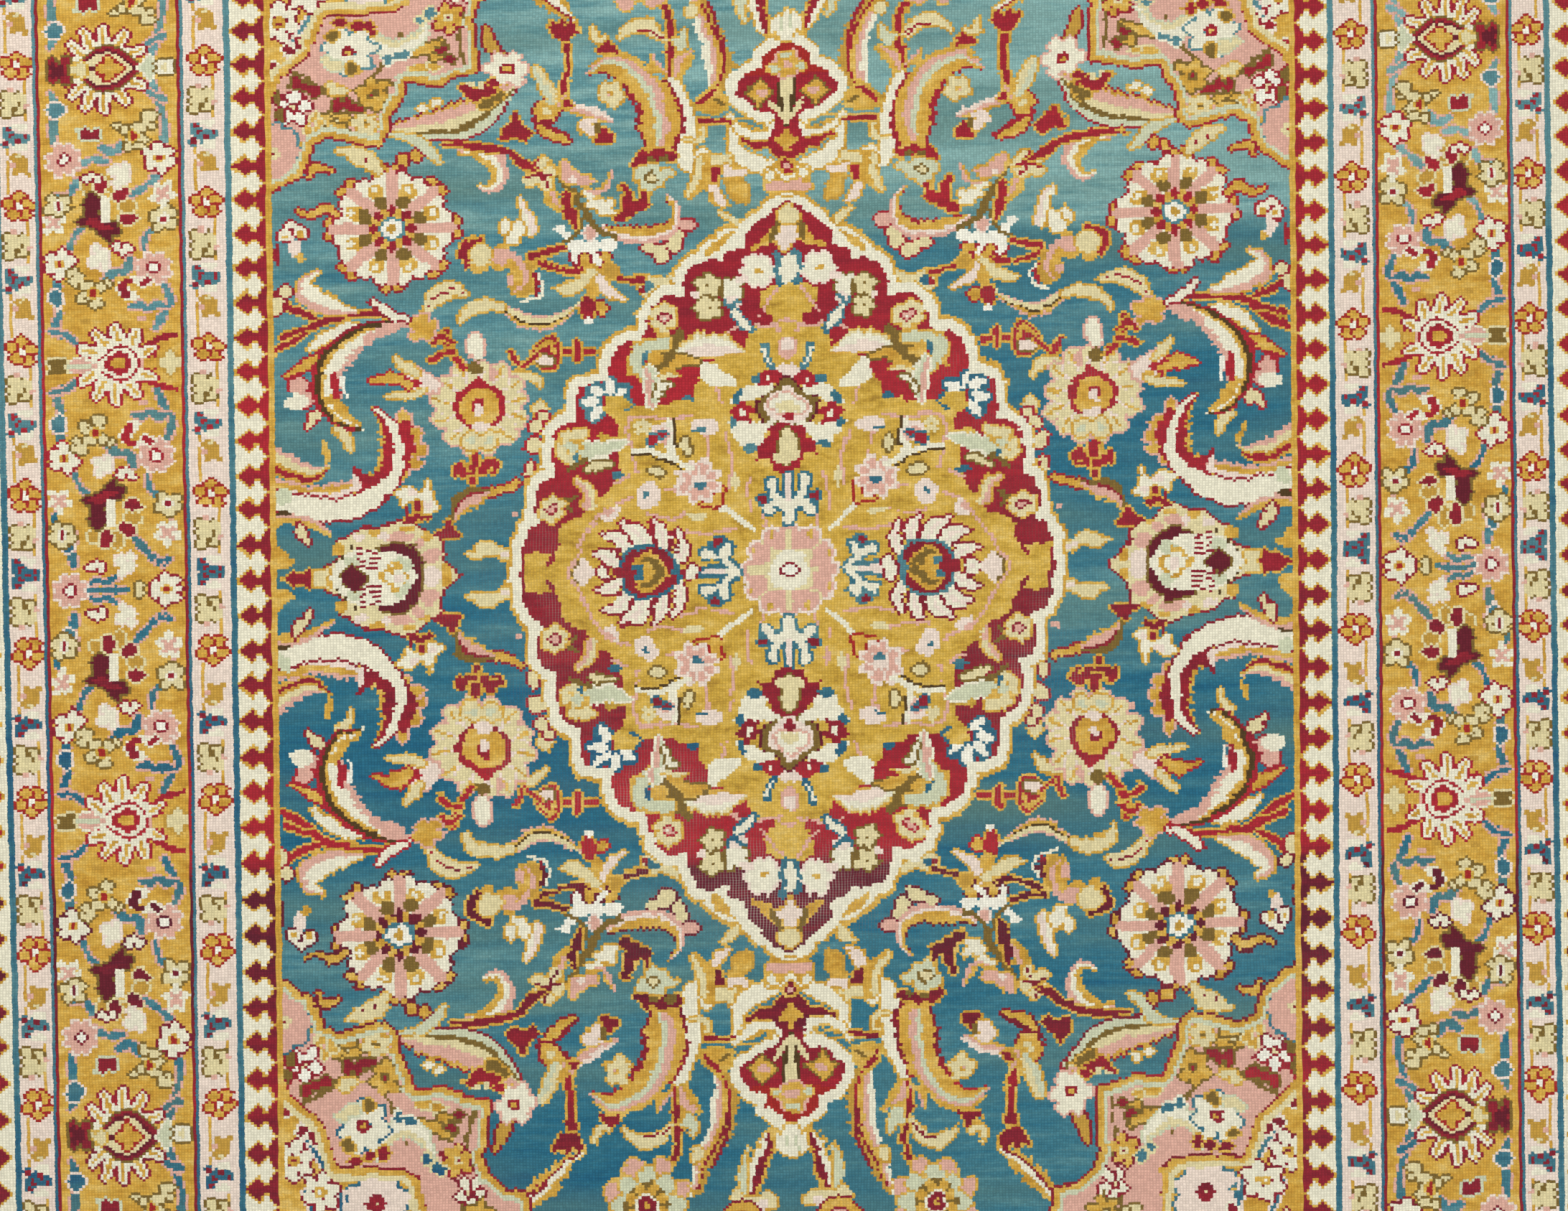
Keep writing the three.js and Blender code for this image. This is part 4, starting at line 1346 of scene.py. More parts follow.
def palmette(u, v):
    """The wide palmette that points out of the rug."""
    petal_ring(u, v, both_sides([(-33, 15), (-18, 34), (4, 41), (24, 35), (38, 19)]), 18, 15)
    spot(u + 1, v, 28, 23, IVORY)
    for size, colour in ((24, CRIMSON), (20.5, IVORY), (15, CRIMSON), (8, GOLD)):
        pointed(u, v, size, colour)
    cluster([(u - 34, v, 8, 8), (u - 26, v, 5, 5)], PINK)
    cluster([(u - 33, v, 5, 7)], GOLD, CRIMSON)
    spot(u - 30, v, 5, 6, GOLD)
    bloom(u - 53, v, 4, 6, 6.5, 5, CREAM, OCHRE, 0)
    leaf([(u - 32, v + 22), (u - 46, v + 28), (u - 61, v + 30)], [4, 9, 3], CRIMSON, None, 0.3, 7)
    leaf([(u - 32, v - 22), (u - 46, v - 26), (u - 61, v - 30)], [4, 9, 3], CRIMSON, None, 0.3, 7)
    leaf([(u + 26, v), (u + 38, v), (u + 56, v)], [6, 25, 8],
         [(-0.35, PINK), (0.35, CELADON), (1, PINK)], IVORY, 0.3, 8)
    bloom(u + 64, v, 4, 6, 6.5, 4, OLIVE, CREAM, 45)


def diamond_palmette(u, v):
    """The palmette with a dark pointed ring."""
    petal_ring(u, v, both_sides([(-34, 20), (-18, 38), (4, 45), (24, 41), (38, 27), (43, 11)]), 24, 14)
    mirrored(u, v, [(-33, 0), (-16, 17), (-2, 24), (14, 20), (29, 5)], CRIMSON, OLIVE)
    mirrored(u, v, [(-24, 0), (-12, 12), (0, 18), (14, 14), (24, 3)], CREAM, WINE)
    bloom(u - 1, v, 4, 7, 7, 5, GOLD, SCARLET, 0)
    spot(u - 1, v, 6, 5, GOLD)
    spot(u + 17, v, 5, 4, WINE)
    cluster([(u + 28, v, 6, 7), (u + 35, v, 4, 4)], CREAM, HONEY)
    cluster([(u + 52, v, 9, 9), (u + 44, v + 9, 5, 5), (u + 44, v - 9, 5, 5), (u + 57, v + 9, 4, 7),
             (u + 57, v - 9, 4, 7)], CRIMSON, OLIVE)
    cluster([(u + 50, v, 5, 7), (u + 57, v - 5, 3, 6)], WINE)
    patch([(u - 31, v), (u - 42, v + 13), (u - 51, v + 4), (u - 51, v - 4), (u - 42, v - 13)], CELADON,
          IVORY)
    bloom(u - 58, v, 4, 5, 6, 5, IVORY, OLIVE, 45)
    spot(u - 58, v, 3, 5, CREAM)


def border_spray():
    """The flowers and stems between a white flower and the wide palmette."""
    vine((730, 99), (738, 108), (746, 124), (752, 134))
    vine((652, 102), (662, 104), (668, 112), (670, 124))
    vine((684, 136), (688, 148), (702, 150), (712, 160), width=8)
    vine((659, 214), (653, 200), (648, 189), (643, 179), (651, 160), width=6.5)
    vine((650, 187), (658, 185), (666, 190), (674, 185), (684, 188), width=6.5)
    vine((760, 155), (759, 166), (762, 176), (758, 192), (762, 206), (756, 218), width=6.5)
    spot(760, 179, 7, 9, TEAL, BLUSH)
    vine((742, 226), (749, 217), (760, 214), (769, 212))
    pink_flower(660, 145)
    white_flower(756, 142)
    daisy(707, 84)
    small_flower(692, 124)
    ivory_cloud(715, 134)
    red_leaf(687, 166)
    sprig(722, 171, 1)
    cream_flower(649, 92)
    pale_star(762, 96)
    cluster([(690, 228, 5, 4), (688, 208, 5, 4)], OCHRE)
    spot(672, 200, 5, 3.4, PINK, GOLD)
    spot(730, 202, 6, 3.4, OCHRE, GOLD)


def main_border():
    """One repeat of the wide border."""
    page.knots[:] = GOLD
    border_spray()
    page.shift, page.flip = (0, 494), -1
    border_spray()
    page.shift, page.flip = (0, 0), 1
    vine((655, 26), (670, 38), (684, 54), width=7)
    vine((648, 32), (660, 30))
    vine((644, 60), (645, 72), width=4)
    vine((704, 13), (715, 8), (724, 12), (734, 6), width=5)
    vine((694, 0), (708, 1), (722, -1), (736, 1), width=5)
    vine((712, -10), (722, -7), (734, -4), width=4)
    vine((748, 26), (750, 44), (746, 62), width=6.5)
    spot(755, 47, 8, 6, TEAL, BLUSH)
    vine((768, 68), (767, 82), width=4)
    ivory_cloud(694, 27)
    small_flower(725, 25)
    spot(680, 4, 4, 4, CREAM, OLIVE)
    white_flower(652, 1)
    pink_flower(752, 0)
    pale_star(650, 60)
    cream_flower(760, 60)
    vine((652, 452), (666, 440), (682, 428), width=6)
    vine((738, 444), (745, 430), (762, 430), width=6)
    vine((650, 480), (646, 500), (652, 530), (660, 556), width=6.5)
    vine((646, 532), (664, 540), width=7)
    vine((690, 484), (698, 474), (712, 480), width=8)
    vine((706, 464), (722, 466), (736, 458), width=6)
    vine((760, 486), (760, 506), (756, 522), (762, 540), width=7)
    spot(757, 522, 9, 8, TEAL, BLUSH)
    ivory_cloud(692, 449)
    small_flower(722, 445)
    white_flower(652, 469)
    pink_flower(750, 467)
    pale_star(649, 429)
    cream_flower(757, 418)
    page.shift, page.flip = (0, 990), -1
    sprig(680, 495, -1)
    page.shift, page.flip = (0, 0), 1
    cluster([(672, 482, 6, 4), (684, 479, 5, 5)], CREAM, OLIVE)
    patch([(712, 488), (734, 488), (732, 500), (726, 506), (722, 500), (714, 502)], CRIMSON, CELADON)
    spot(736, 502, 4, 3, CELADON)
    palmette(697, 243)
    diamond_palmette(703, 567)


main_border()
main_page = page
print("main border:", main_page.knots.shape, "knots in a repeat")

# %% [markdown]
# The guard stripe has a small repeat: a gold rosette, a bent leaf and a dark star.

# %% Guard stripe
GUARD_REPEAT, GUARD_START = 157.0, 83
INNER_GUARD, OUTER_GUARD = (586.0, 626.0), (782.0, 816.0)
page = Page(13, 58, INNER_GUARD[0])


def guard():
    """One repeat, with the rosette in its middle."""
    v = GUARD_REPEAT / 2
    page.knots[:] = BLUSH
    line([(598, v - 62), (597, v - 40), (598, v - 18)], 3, GOLD)
    line([(616, v + 16), (617, v + 40), (616, v + 62)], 3, GOLD)
    ringed(606, v, 5, 10.5, lambda x, y, a: spot(x, y, 6, 5, GOLD, SCARLET), 18)
    spot(606, v, 4, 4, WHITE)
    cluster([(604, v - 37, 5, 6), (615, v - 34, 6, 5), (604, v - 49, 5, 6), (616, v - 53, 6, 5),
             (613, v - 44, 8, 6)], CREAM, OLIVE)
    cluster([(600, v - 40, 4, 9), (611, v - 41, 3, 5)], CREAM)
    line([(604, v - 43), (607, v - 49), (611, v - 48)], 3, OLIVE)
    spot(597, v - 46, 3.4, 3, PINK)
    spot(612, v - 27, 3, 2.6, PINK)
    cluster([(602, v + 47, 6, 10), (608, v + 40, 5, 5), (609, v + 54, 5, 5), (596, v + 38, 4, 4)],
            OCHRE, BLUSH)
    spot(604, v + 56, 3, 3, CREAM)
    spot(611, v + 46, 3.4, 2.8, PINK)
    for along in (v + 76, v - 81):
        cluster([(599, along, 7, 6), (607, along - 2, 8, 7), (614, along + 2, 6, 7),
                 (619, along - 7, 4, 5), (617, along + 9, 5, 5)], TEAL)
        for across, up in ((597, 2), (605, -4), (612, 3), (619, -6), (616, 10)):
            spot(across, along + up, 3, 2.8, CRIMSON)
    spot(603, v + 66, 9, 4, IVORY)
    spot(603, v - 68, 9, 4, IVORY)


guard()
guard_page = page

# %% [markdown]
# The strip: plain lines, arrow heads, guards and the main border, for half of the rug's
# length. The same strip, turned, makes the end borders.

# %% Whole chart
FIELD_EDGE = 538.0
INNER_ARROWS, OUTER_ARROWS = (544, 580), (823, 861)
HALF_PILE = QUARTER_ROWS * KNOT_ALONG
ARROW_REPEAT = 37.3
ARROW_HEAD = [(0, 18), (2, 17), (5.5, 13.5), (9, 7), (12, 2.6), (13.5, 1.8), (15, 6), (17.5, 7.5),
              (19.5, 10.5), (21.5, 10.5), (24, 8), (27, 5.5), (30, 3), (33.5, 0.6), (34.5, -2),
              (40, -5)]
head_at, head_half = np.array(ARROW_HEAD).T
PLAIN_BANDS = [(580, 586, TEAL), (626, 629.5, TEAL), (629.5, 633, CRIMSON), (774, 778, CRIMSON),
               (778, 782, TEAL), (816, 823, TEAL), (861, 867, GOLD), (867, 900, OCHRE)]


def folded(place, repeat):
    """A place along the border, folded into one repeat that is mirrored each time."""
    return np.abs((place + repeat) % (2 * repeat) - repeat)


def arrows(across, along):
    """Arrow heads of dark red, rimmed with gold, on ivory. Across runs from their base."""
    beside_head = np.abs((along + ARROW_REPEAT / 2) % ARROW_REPEAT - ARROW_REPEAT / 2)
    half = np.interp(across, head_at, head_half)
    colour = np.where(beside_head < half + 3, GOLD, IVORY)
    colour = np.where(beside_head < half, CRIMSON, colour)
    return colour


def between(across, limits):
    """Whether a distance lies between two limits."""
    return (across >= limits[0]) & (across < limits[1])


def on_page(charted, along, across):
    """The colours of a page at distances along and across from its first knot."""
    rows, columns = charted.knots.shape
    row = np.minimum((along / KNOT_ALONG).astype(int), rows - 1)
    return charted.knots[row, np.minimum((across / KNOT_ACROSS).astype(int), columns - 1)]


def strip(across, along, guard_from, main_from):
    """The border's colour at a distance from the rug's middle line and along it."""
    colour = np.full(across.shape, GOLD)
    here = between(across, INNER_ARROWS)
    colour[here] = arrows(across[here] - INNER_ARROWS[0], along[here])
    here = between(across, OUTER_ARROWS)
    colour[here] = arrows(OUTER_ARROWS[1] - across[here], along[here])
    for low, high, plain in PLAIN_BANDS:
        colour[between(across, (low, high))] = plain
    for limits, shift in ((INNER_GUARD, 0), (OUTER_GUARD, 3)):
        here = between(across, limits)
        place = np.abs(along[here] - guard_from) - GUARD_START + GUARD_REPEAT / 2
        colour[here] = on_page(guard_page, place % GUARD_REPEAT, across[here] - limits[0] + shift)
    here = between(across, (MAIN_FROM, MAIN_TO))
    place = folded(along[here] - main_from, MAIN_REPEAT)
    colour[here] = on_page(main_page, place, across[here] - MAIN_FROM)
    return colour


across = (np.arange(2 * QUARTER_COLUMNS) + 0.5 - QUARTER_COLUMNS) * KNOT_ACROSS
along = (np.arange(2 * QUARTER_ROWS) + 0.5 - QUARTER_ROWS) * KNOT_ALONG
all_across, all_along = np.meshgrid(across, along)
to_side = np.abs(all_across)
to_end = np.abs(all_along) - (HALF_PILE - QUARTER_COLUMNS * KNOT_ACROSS)


def unevenly(size, seed, knots_apart):
    """A smooth random field over all the knots, from about -1 to 1."""
    maker = np.random.default_rng(seed)
    rows, columns = size
    coarse = maker.uniform(-1, 1, (rows // knots_apart + 4, columns // knots_apart + 4))
    y, x = np.arange(rows) / knots_apart, np.arange(columns) / knots_apart
    i, j = y.astype(int)[:, None], x.astype(int)[None]
    fy, fx = (y % 1)[:, None], (x % 1)[None]
    fy, fx = fy * fy * (3 - 2 * fy), fx * fx * (3 - 2 * fx)
    top = coarse[i, j] * (1 - fx) + coarse[i, j + 1] * fx
    low = coarse[i + 1, j] * (1 - fx) + coarse[i + 1, j + 1] * fx
    return top * (1 - fy) + low * fy


size = all_across.shape
wander_u = 1.1 * unevenly(size, 3, 22) + 0.45 * unevenly(size, 4, 5)
wander_v = 1.3 * unevenly(size, 5, 22) + 0.45 * unevenly(size, 6, 5)
field_u = np.abs(all_across) / KNOT_ACROSS + wander_u
field_v = np.abs(all_along) / KNOT_ALONG + wander_v
row = np.clip(np.abs(field_v), 0, QUARTER_ROWS - 1).astype(int)
column = np.clip(np.abs(field_u), 0, QUARTER_COLUMNS - 1).astype(int)
knots = quarter.knots[row, column]
side_part = (to_side > FIELD_EDGE) & (to_side >= to_end)
end_part = (to_end > FIELD_EDGE) & (to_end > to_side)
wander = 1.2 * unevenly(size, 7, 16)
knots[side_part] = strip(to_side[side_part], (all_along + wander)[side_part], 10.0, -9.0)
knots[end_part] = strip(to_end[end_part], (all_across + wander)[end_part], 0.0, MAIN_REPEAT)
print("the whole rug has", knots.size, "knots")

# %% [markdown]
# ## The pile as a mesh
#
# One face of the mesh holds four by four knots. Each face keeps its knots as four numbers,
# one for each row, and each number is written in base 16 with one digit for each knot.
#
# Real pile is half a million short tufts. Modelling them all would be too heavy, so the mesh
# only follows the rug's outline and ripples, and the material draws each knot.

# %% Pile mesh
BLOCK = 4
ACROSS_BLOCKS, ALONG_BLOCKS = 2 * QUARTER_COLUMNS // BLOCK, 2 * QUARTER_ROWS // BLOCK
HALF_WIDE = QUARTER_COLUMNS * KNOT_ACROSS
EDGE_RINGS = [(1.2, 6.3), (2.2, 5.0), (4.2, 4.4), (5.0, 3.4), (5.0, 1.0), (3.8, 0.1)]

blocks = knots.reshape(ALONG_BLOCKS, BLOCK, ACROSS_BLOCKS, BLOCK).astype(float)
codes = (blocks * 16.0 ** np.arange(BLOCK)).sum(3).transpose(0, 2, 1)
codes = codes.reshape(-1, BLOCK)
print("faces on the pile:", len(codes), "codes up to", codes.max())


def grid_faces(columns, rows, first, flipped=False):
    """The faces of a grid of points, in rows."""
    i, j = np.meshgrid(np.arange(columns), np.arange(rows))
    corner = first + (j * (columns + 1) + i).ravel()
    order = [corner, corner + 1, corner + columns + 2, corner + columns + 1]
    return np.stack(order[::-1] if flipped else order, 1)


def loop_round(columns, rows):
    """The corners of the grid's edge, in order round it."""
    wide = columns + 1
    south = np.arange(columns)
    east = columns + wide * np.arange(rows)
    north = wide * rows + columns - np.arange(columns)
    west = wide * (rows - np.arange(rows))
    return np.concatenate([south, east, north, west])


x_lines = np.linspace(-HALF_WIDE, HALF_WIDE, ACROSS_BLOCKS + 1)
y_lines = np.linspace(-HALF_PILE, HALF_PILE, ALONG_BLOCKS + 1)
grid_x, grid_y = np.meshgrid(x_lines, y_lines)
shaky = np.random.default_rng(9).uniform(-0.7, 0.7, (2,) + grid_x.shape)
shaky[:, [0, -1]] = shaky[:, :, [0, -1]] = 0
grid_x, grid_y = (grid_x + shaky[0]).ravel(), (grid_y + shaky[1]).ravel()
loop = loop_round(ACROSS_BLOCKS, ALONG_BLOCKS)
loop_x, loop_y = grid_x[loop], grid_y[loop]
out_x = np.where(np.abs(loop_x) > HALF_WIDE - 1, np.sign(loop_x), 0)
out_y = np.where(np.abs(loop_y) > HALF_PILE - 1, np.sign(loop_y), 0)

even_x, even_y, heights = [grid_x], [grid_y], [pile_height(grid_x, grid_y)]
faces = [grid_faces(ACROSS_BLOCKS, ALONG_BLOCKS, 0)]
ring_before = loop
count = len(grid_x)
for reach, height in EDGE_RINGS:
    even_x.append(loop_x + out_x * reach)
    even_y.append(loop_y + out_y * reach)
    heights.append(np.full(len(loop), height))
    ring = count + np.arange(len(loop))
    faces.append(np.stack([np.roll(ring_before, -1), ring_before, ring, np.roll(ring, -1)], 1))
    ring_before = ring
    count += len(loop)
under = count
even_x.append(grid_x)
even_y.append(grid_y)
heights.append(np.zeros(len(grid_x)))
faces.append(np.stack([np.roll(ring_before, -1), ring_before, under + loop, np.roll(under + loop, -1)],
                      1))
faces.append(grid_faces(ACROSS_BLOCKS, ALONG_BLOCKS, under, flipped=True))

even_x, even_y, heights = map(np.concatenate, (even_x, even_y, heights))
faces = np.concatenate(faces)
real_x, real_y = woven(even_x, even_y)
points = np.stack([real_x, real_y, heights], 1) / 1000
print("pile mesh:", len(points), "points,", len(faces), "faces")


def make_mesh(name, points, faces):
    """A new object in the scene from points and faces."""
    mesh = bpy.data.meshes.new(name)
    mesh.from_pydata(points, [], faces)
    mesh.update()
    made = bpy.data.objects.new(name, mesh)
    bpy.context.scene.collection.objects.link(made)
    return made


pile = make_mesh("pile", points.tolist(), faces.tolist())
top_faces = len(codes)
ring_faces = len(faces) - 2 * top_faces
is_under = np.arange(len(faces)) >= top_faces + ring_faces
is_ring = (np.arange(len(faces)) >= top_faces) & ~is_under

band = float(OCHRE * (1 + 16 + 256 + 4096))
face_codes = np.concatenate([codes, np.full((ring_faces, BLOCK), band), codes])
code_layer = pile.data.attributes.new("knots", "FLOAT_COLOR", "FACE")
code_layer.data.foreach_set("color", face_codes.ravel())

# %% [markdown]
# Two UV maps: one counts knots for the chart, and one lays the faces out for a bake, with
# most of it for the pile.

# %% UV maps
corners = np.zeros(len(faces) * 4, int)
pile.data.loops.foreach_get("vertex_index", corners)
corner_face = np.repeat(np.arange(len(faces)), 4)
knot_u = np.clip((even_x[corners] + HALF_WIDE) / KNOT_ACROSS / BLOCK, 0, ACROSS_BLOCKS)
knot_v = np.clip((even_y[corners] + HALF_PILE) / KNOT_ALONG / BLOCK, 0, ALONG_BLOCKS)
knot_u, knot_v = np.round(knot_u) * BLOCK, np.round(knot_v) * BLOCK
chart_map = pile.data.uv_layers.new(name="Chart")
chart_map.data.foreach_set("uv", np.stack([knot_u, knot_v], 1).ravel())

share_u, share_v = knot_u / knot_u.max(), knot_v / knot_v.max()
bake_u = 0.004 + 0.66 * share_u
bake_v = 0.004 + 0.992 * share_v
below = is_under[corner_face]
bake_u[below] = 0.675 + 0.32 * (1 - share_u[below])
bake_v[below] = 0.004 + 0.48 * share_v[below]
edge = is_ring[corner_face]
ring_number = (corner_face[edge] - top_faces) // len(loop)
ring_place = (corner_face[edge] - top_faces) % len(loop)
turn = np.tile([1, 0, 0, 1], edge.sum() // 4)
step = np.tile([0, 0, 1, 1], edge.sum() // 4)
bake_u[edge] = 0.68 + 0.31 * (ring_place + turn) / len(loop)
bake_v[edge] = 0.52 + 0.06 * ring_number + 0.05 * step
bake_map = pile.data.uv_layers.new(name="OFBake")
bake_map.data.foreach_set("uv", np.stack([bake_u, bake_v], 1).ravel())
pile.data.uv_layers.active = chart_map
print("uv maps:", [layer.name for layer in pile.data.uv_layers])

# %% [markdown]
# ## Dye and wear
#
# Wool was dyed in lots, so the colours change in bands along the rug. Each band gives the
# place along the rug, then the depth of the dye in its left and right half. Bare patches are
# where the warps show: their middle, their half sizes, and how much they show.

# %% Dye bands and wear
BLUE_BANDS = [(-1340, 0.5, 0.5), (-600, 0.2, 0.45), (-540, 0.35, 0.52), (-480, 0.55, 0.5),
              (-420, 0.6, 0.36), (-350, 0.48, 0.5), (-300, 0.3, 0.32), (-200, 0.14, 0.25),
              (-120, 0.3, 0.35), (-60, 0.42, 0.6), (0, 0.35, 0.6), (60, 0.38, 0.45), (90, 0.5, 0.3),
              (130, 0.66, 0.34), (190, 0.6, 0.26), (240, 0.7, 0.55), (310, 0.66, 0.48), (352, 0.7, 0.5),
              (384, 0.8, 0.95), (430, 0.8, 1.0), (600, 0.85, 1.0), (1340, 0.6, 0.7)]
RED_BANDS = [(-1340, 0.7, 0.7), (-560, 0.6, 0.6), (-540, 0.2, 0.2), (-500, 0.6, 0.6), (-400, 1.0, 1.0),
             (-312, 1.0, 1.0), (-298, 0.05, 0.1), (-220, 0.0, 0.1), (-180, 0.5, 0.5), (-60, 0.6, 0.6),
             (0, 0.5, 0.55), (80, 0.4, 0.45), (140, 0.1, 0.2), (220, 0.05, 0.1), (270, 0.45, 0.35),
             (400, 0.4, 0.2), (600, 0.5, 0.3), (1340, 0.5, 0.5)]
BARE_PATCHES = [(0, -348, 150, 42, 0.9), (-135, -225, 45, 26, 0.7), (260, -130, 60, 110, 0.6),
                (-270, -150, 50, 120, 0.5)]
LOW_PILE_SHOWS = 0.35


def banded(table, x, y):
    """A band table's value at each place, with the left and right halves blended."""
    place, left, right = np.array(table, float).T
    part = np.clip(x / 240 + 0.5, 0, 1)
    return np.interp(y, place, left) * (1 - part) + np.interp(y, place, right) * part


def set_on_points(name, values):
    """Keeps one number for each point of the pile."""
    layer = pile.data.attributes.new(name, "FLOAT", "POINT")
    layer.data.foreach_set("value", values.astype(np.float32))
    print(name, "from", round(float(values.min()), 2), "to", round(float(values.max()), 2))


worn = np.zeros(len(even_x))
for *patch_size, depth in WORN_PATCHES:
    worn += LOW_PILE_SHOWS * depth * nearness(even_x, even_y, *patch_size)
for *patch_size, depth in BARE_PATCHES:
    worn += depth * nearness(even_x, even_y, *patch_size)
set_on_points("blue_depth", banded(BLUE_BANDS, even_x, even_y))
set_on_points("red_depth", banded(RED_BANDS, even_x, even_y))
set_on_points("worn", np.clip(worn, 0, 1))

# %% [markdown]
# ## Materials
#
# Wool is matt, with a faint sheen, so each material is one shader with a high roughness. Its
# colour comes out of maths on the knots' numbers. A few helpers keep the node trees short.

# %% Node helpers
def linear(red, green, blue):
    """A screen colour, 0 to 255, as the colour that the shader works with."""
    shares = [c / 255 for c in (red, green, blue)]
    return [c / 12.92 if c <= 0.04045 else ((c + 0.055) / 1.055) ** 2.4 for c in shares] + [1.0]


class Tree:
    """The nodes of one material."""

    def __init__(self, name):
        self.material = bpy.data.materials.new(name)
        self.material.use_nodes = True
        self.nodes = self.material.node_tree.nodes
        self.links = self.material.node_tree.links
        self.nodes.clear()
        self.shader = self.add("ShaderNodeBsdfPrincipled")
        self.place = self.add("ShaderNodeTexCoord").outputs["Object"]
        output = self.add("ShaderNodeOutputMaterial")
        self.links.new(self.shader.outputs[0], output.inputs["Surface"])

    def add(self, kind, **settings):
        """A new node with those settings."""
        made = self.nodes.new(kind)
        for name, value in settings.items():
            setattr(made, name, value)
        return made

    def put(self, socket, value):
        """Links a socket to another, or gives it a value."""
        if isinstance(value, bpy.types.NodeSocket):
            self.links.new(value, socket)
        else:
            socket.default_value = value

    def sum(self, operation, *values, clamp=False):
        """A math node."""
        step = self.add("ShaderNodeMath", operation=operation, use_clamp=clamp)
        for socket, value in zip(step.inputs, values):
            self.put(socket, value)
        return step.outputs[0]

    def noise(self, where, scale, detail=2.0, rough=0.5, dimensions="3D"):
        """A noise texture at that place."""
        made = self.add("ShaderNodeTexNoise", noise_dimensions=dimensions)
        self.links.new(where, made.inputs["Vector"])
        made.inputs["Scale"].default_value = scale
        made.inputs["Detail"].default_value = detail
        made.inputs["Roughness"].default_value = rough
        return made.outputs["Fac"]

    def ramp(self, factor, stops, sharp=False):
        """A colour ramp. Each stop is a place and a screen colour."""
        made = self.add("ShaderNodeValToRGB")
        made.color_ramp.interpolation = "CONSTANT" if sharp else "LINEAR"
        elements = made.color_ramp.elements
        elements[0].position, elements[0].color = stops[0][0], linear(*stops[0][1])
        elements.remove(elements[1])
        for place, colour in stops[1:]:
            elements.new(place).color = linear(*colour)
        self.put(made.inputs[0], factor)
        return made.outputs[0]

    def mix(self, factor, a, b, blend="MIX"):
        """A mix of two colours."""
        made = self.add("ShaderNodeMix", data_type="RGBA", blend_type=blend)
        self.put(made.inputs[0], factor)
        self.put(made.inputs[6], a)
        self.put(made.inputs[7], b)
        return made.outputs[2]

    def grey(self, value):
        """A grey of that value."""
        made = self.add("ShaderNodeCombineColor")
        for socket in made.inputs:
            self.put(socket, value)
        return made.outputs[0]

    def split(self, vector):
        """The three parts of a vector."""
        made = self.add("ShaderNodeSeparateXYZ")
        self.links.new(vector, made.inputs[0])
        return made

    def stretched(self, share):
        """The place on the object, with its across part shrunk, so that textures run across."""
        made = self.add("ShaderNodeMapping")
        made.inputs["Scale"].default_value = (share, 1.0, 1.0)
        self.links.new(self.place, made.inputs["Vector"])
        return made.outputs[0]

    def finished(self, colour, rough, gloss, normal=None, sheen=0.0):
        """Sets the shader and gives the material."""
        self.put(self.shader.inputs["Base Color"], colour)
        self.put(self.shader.inputs["Roughness"], rough)
        self.put(self.shader.inputs["Specular IOR Level"], gloss)
        self.put(self.shader.inputs["Sheen Weight"], sheen)
        if normal is not None:
            self.put(self.shader.inputs["Normal"], normal)
        return self.material

    def attribute(self, name):
        """A value that the mesh keeps."""
        return self.add("ShaderNodeAttribute", attribute_name=name)

    def bump(self, height, distance, strength=1.0, before=None):
        """A normal bent by a height."""
        made = self.add("ShaderNodeBump")
        made.inputs["Strength"].default_value = strength
        made.inputs["Distance"].default_value = distance
        self.links.new(height, made.inputs["Height"])
        if before is not None:
            self.links.new(before, made.inputs["Normal"])
        return made.outputs[0]

# %% [markdown]
# The wool's colours, in the order of the palette. Blue, the two reds and gold are changed
# again below by the dye bands.

# %% Wool and its materials
WOOL = [(58, 112, 132), (148, 40, 52), (100, 30, 42), (208, 166, 78), (230, 225, 200), (220, 207, 158),
        (200, 204, 172), (216, 168, 150), (230, 212, 196), (122, 98, 46), (80, 60, 32), (52, 104, 126),
        (236, 233, 216), (190, 148, 62), (160, 42, 38), (207, 171, 80)]


def chart_colour(tree):
    """Reads the knots of each face. Gives the colour, the digit and the chart places."""
    uv = tree.add("ShaderNodeUVMap", uv_map="Chart")
    split = tree.split(uv.outputs[0])
    digits = []
    for source, scale in ((split.outputs[0], 420.0), (split.outputs[1], 370.0)):
        shake = tree.noise(tree.place, scale, 1.0)
        in_block = tree.sum("MODULO", source, 4.0)
        moved = tree.sum("ADD", in_block, tree.sum("MULTIPLY", tree.sum("SUBTRACT", shake, 0.5), 0.8))
        held = tree.sum("MINIMUM", tree.sum("MAXIMUM", moved, 0.001), 3.999)
        digits.append(tree.sum("FLOOR", held))
    codes = tree.attribute("knots")
    channels = tree.add("ShaderNodeSeparateColor")
    tree.links.new(codes.outputs["Color"], channels.inputs[0])
    rows = [channels.outputs[0], channels.outputs[1], channels.outputs[2], codes.outputs["Alpha"]]
    value = None
    for number, row in enumerate(rows):
        here = tree.sum("MULTIPLY", row, tree.sum("COMPARE", digits[1], float(number), 0.1))
        value = here if value is None else tree.sum("ADD", value, here)
    power = tree.sum("POWER", 16.0, digits[0])
    left = tree.sum("FLOOR", tree.sum("DIVIDE", tree.sum("ADD", value, 0.5), power))
    digit = tree.sum("MODULO", left, 16.0)
    factor = tree.sum("DIVIDE", tree.sum("ADD", digit, 0.5), 16.0)
    colour = tree.ramp(factor, [(n / 16, wool) for n, wool in enumerate(WOOL)], sharp=True)
    return colour, digit, split


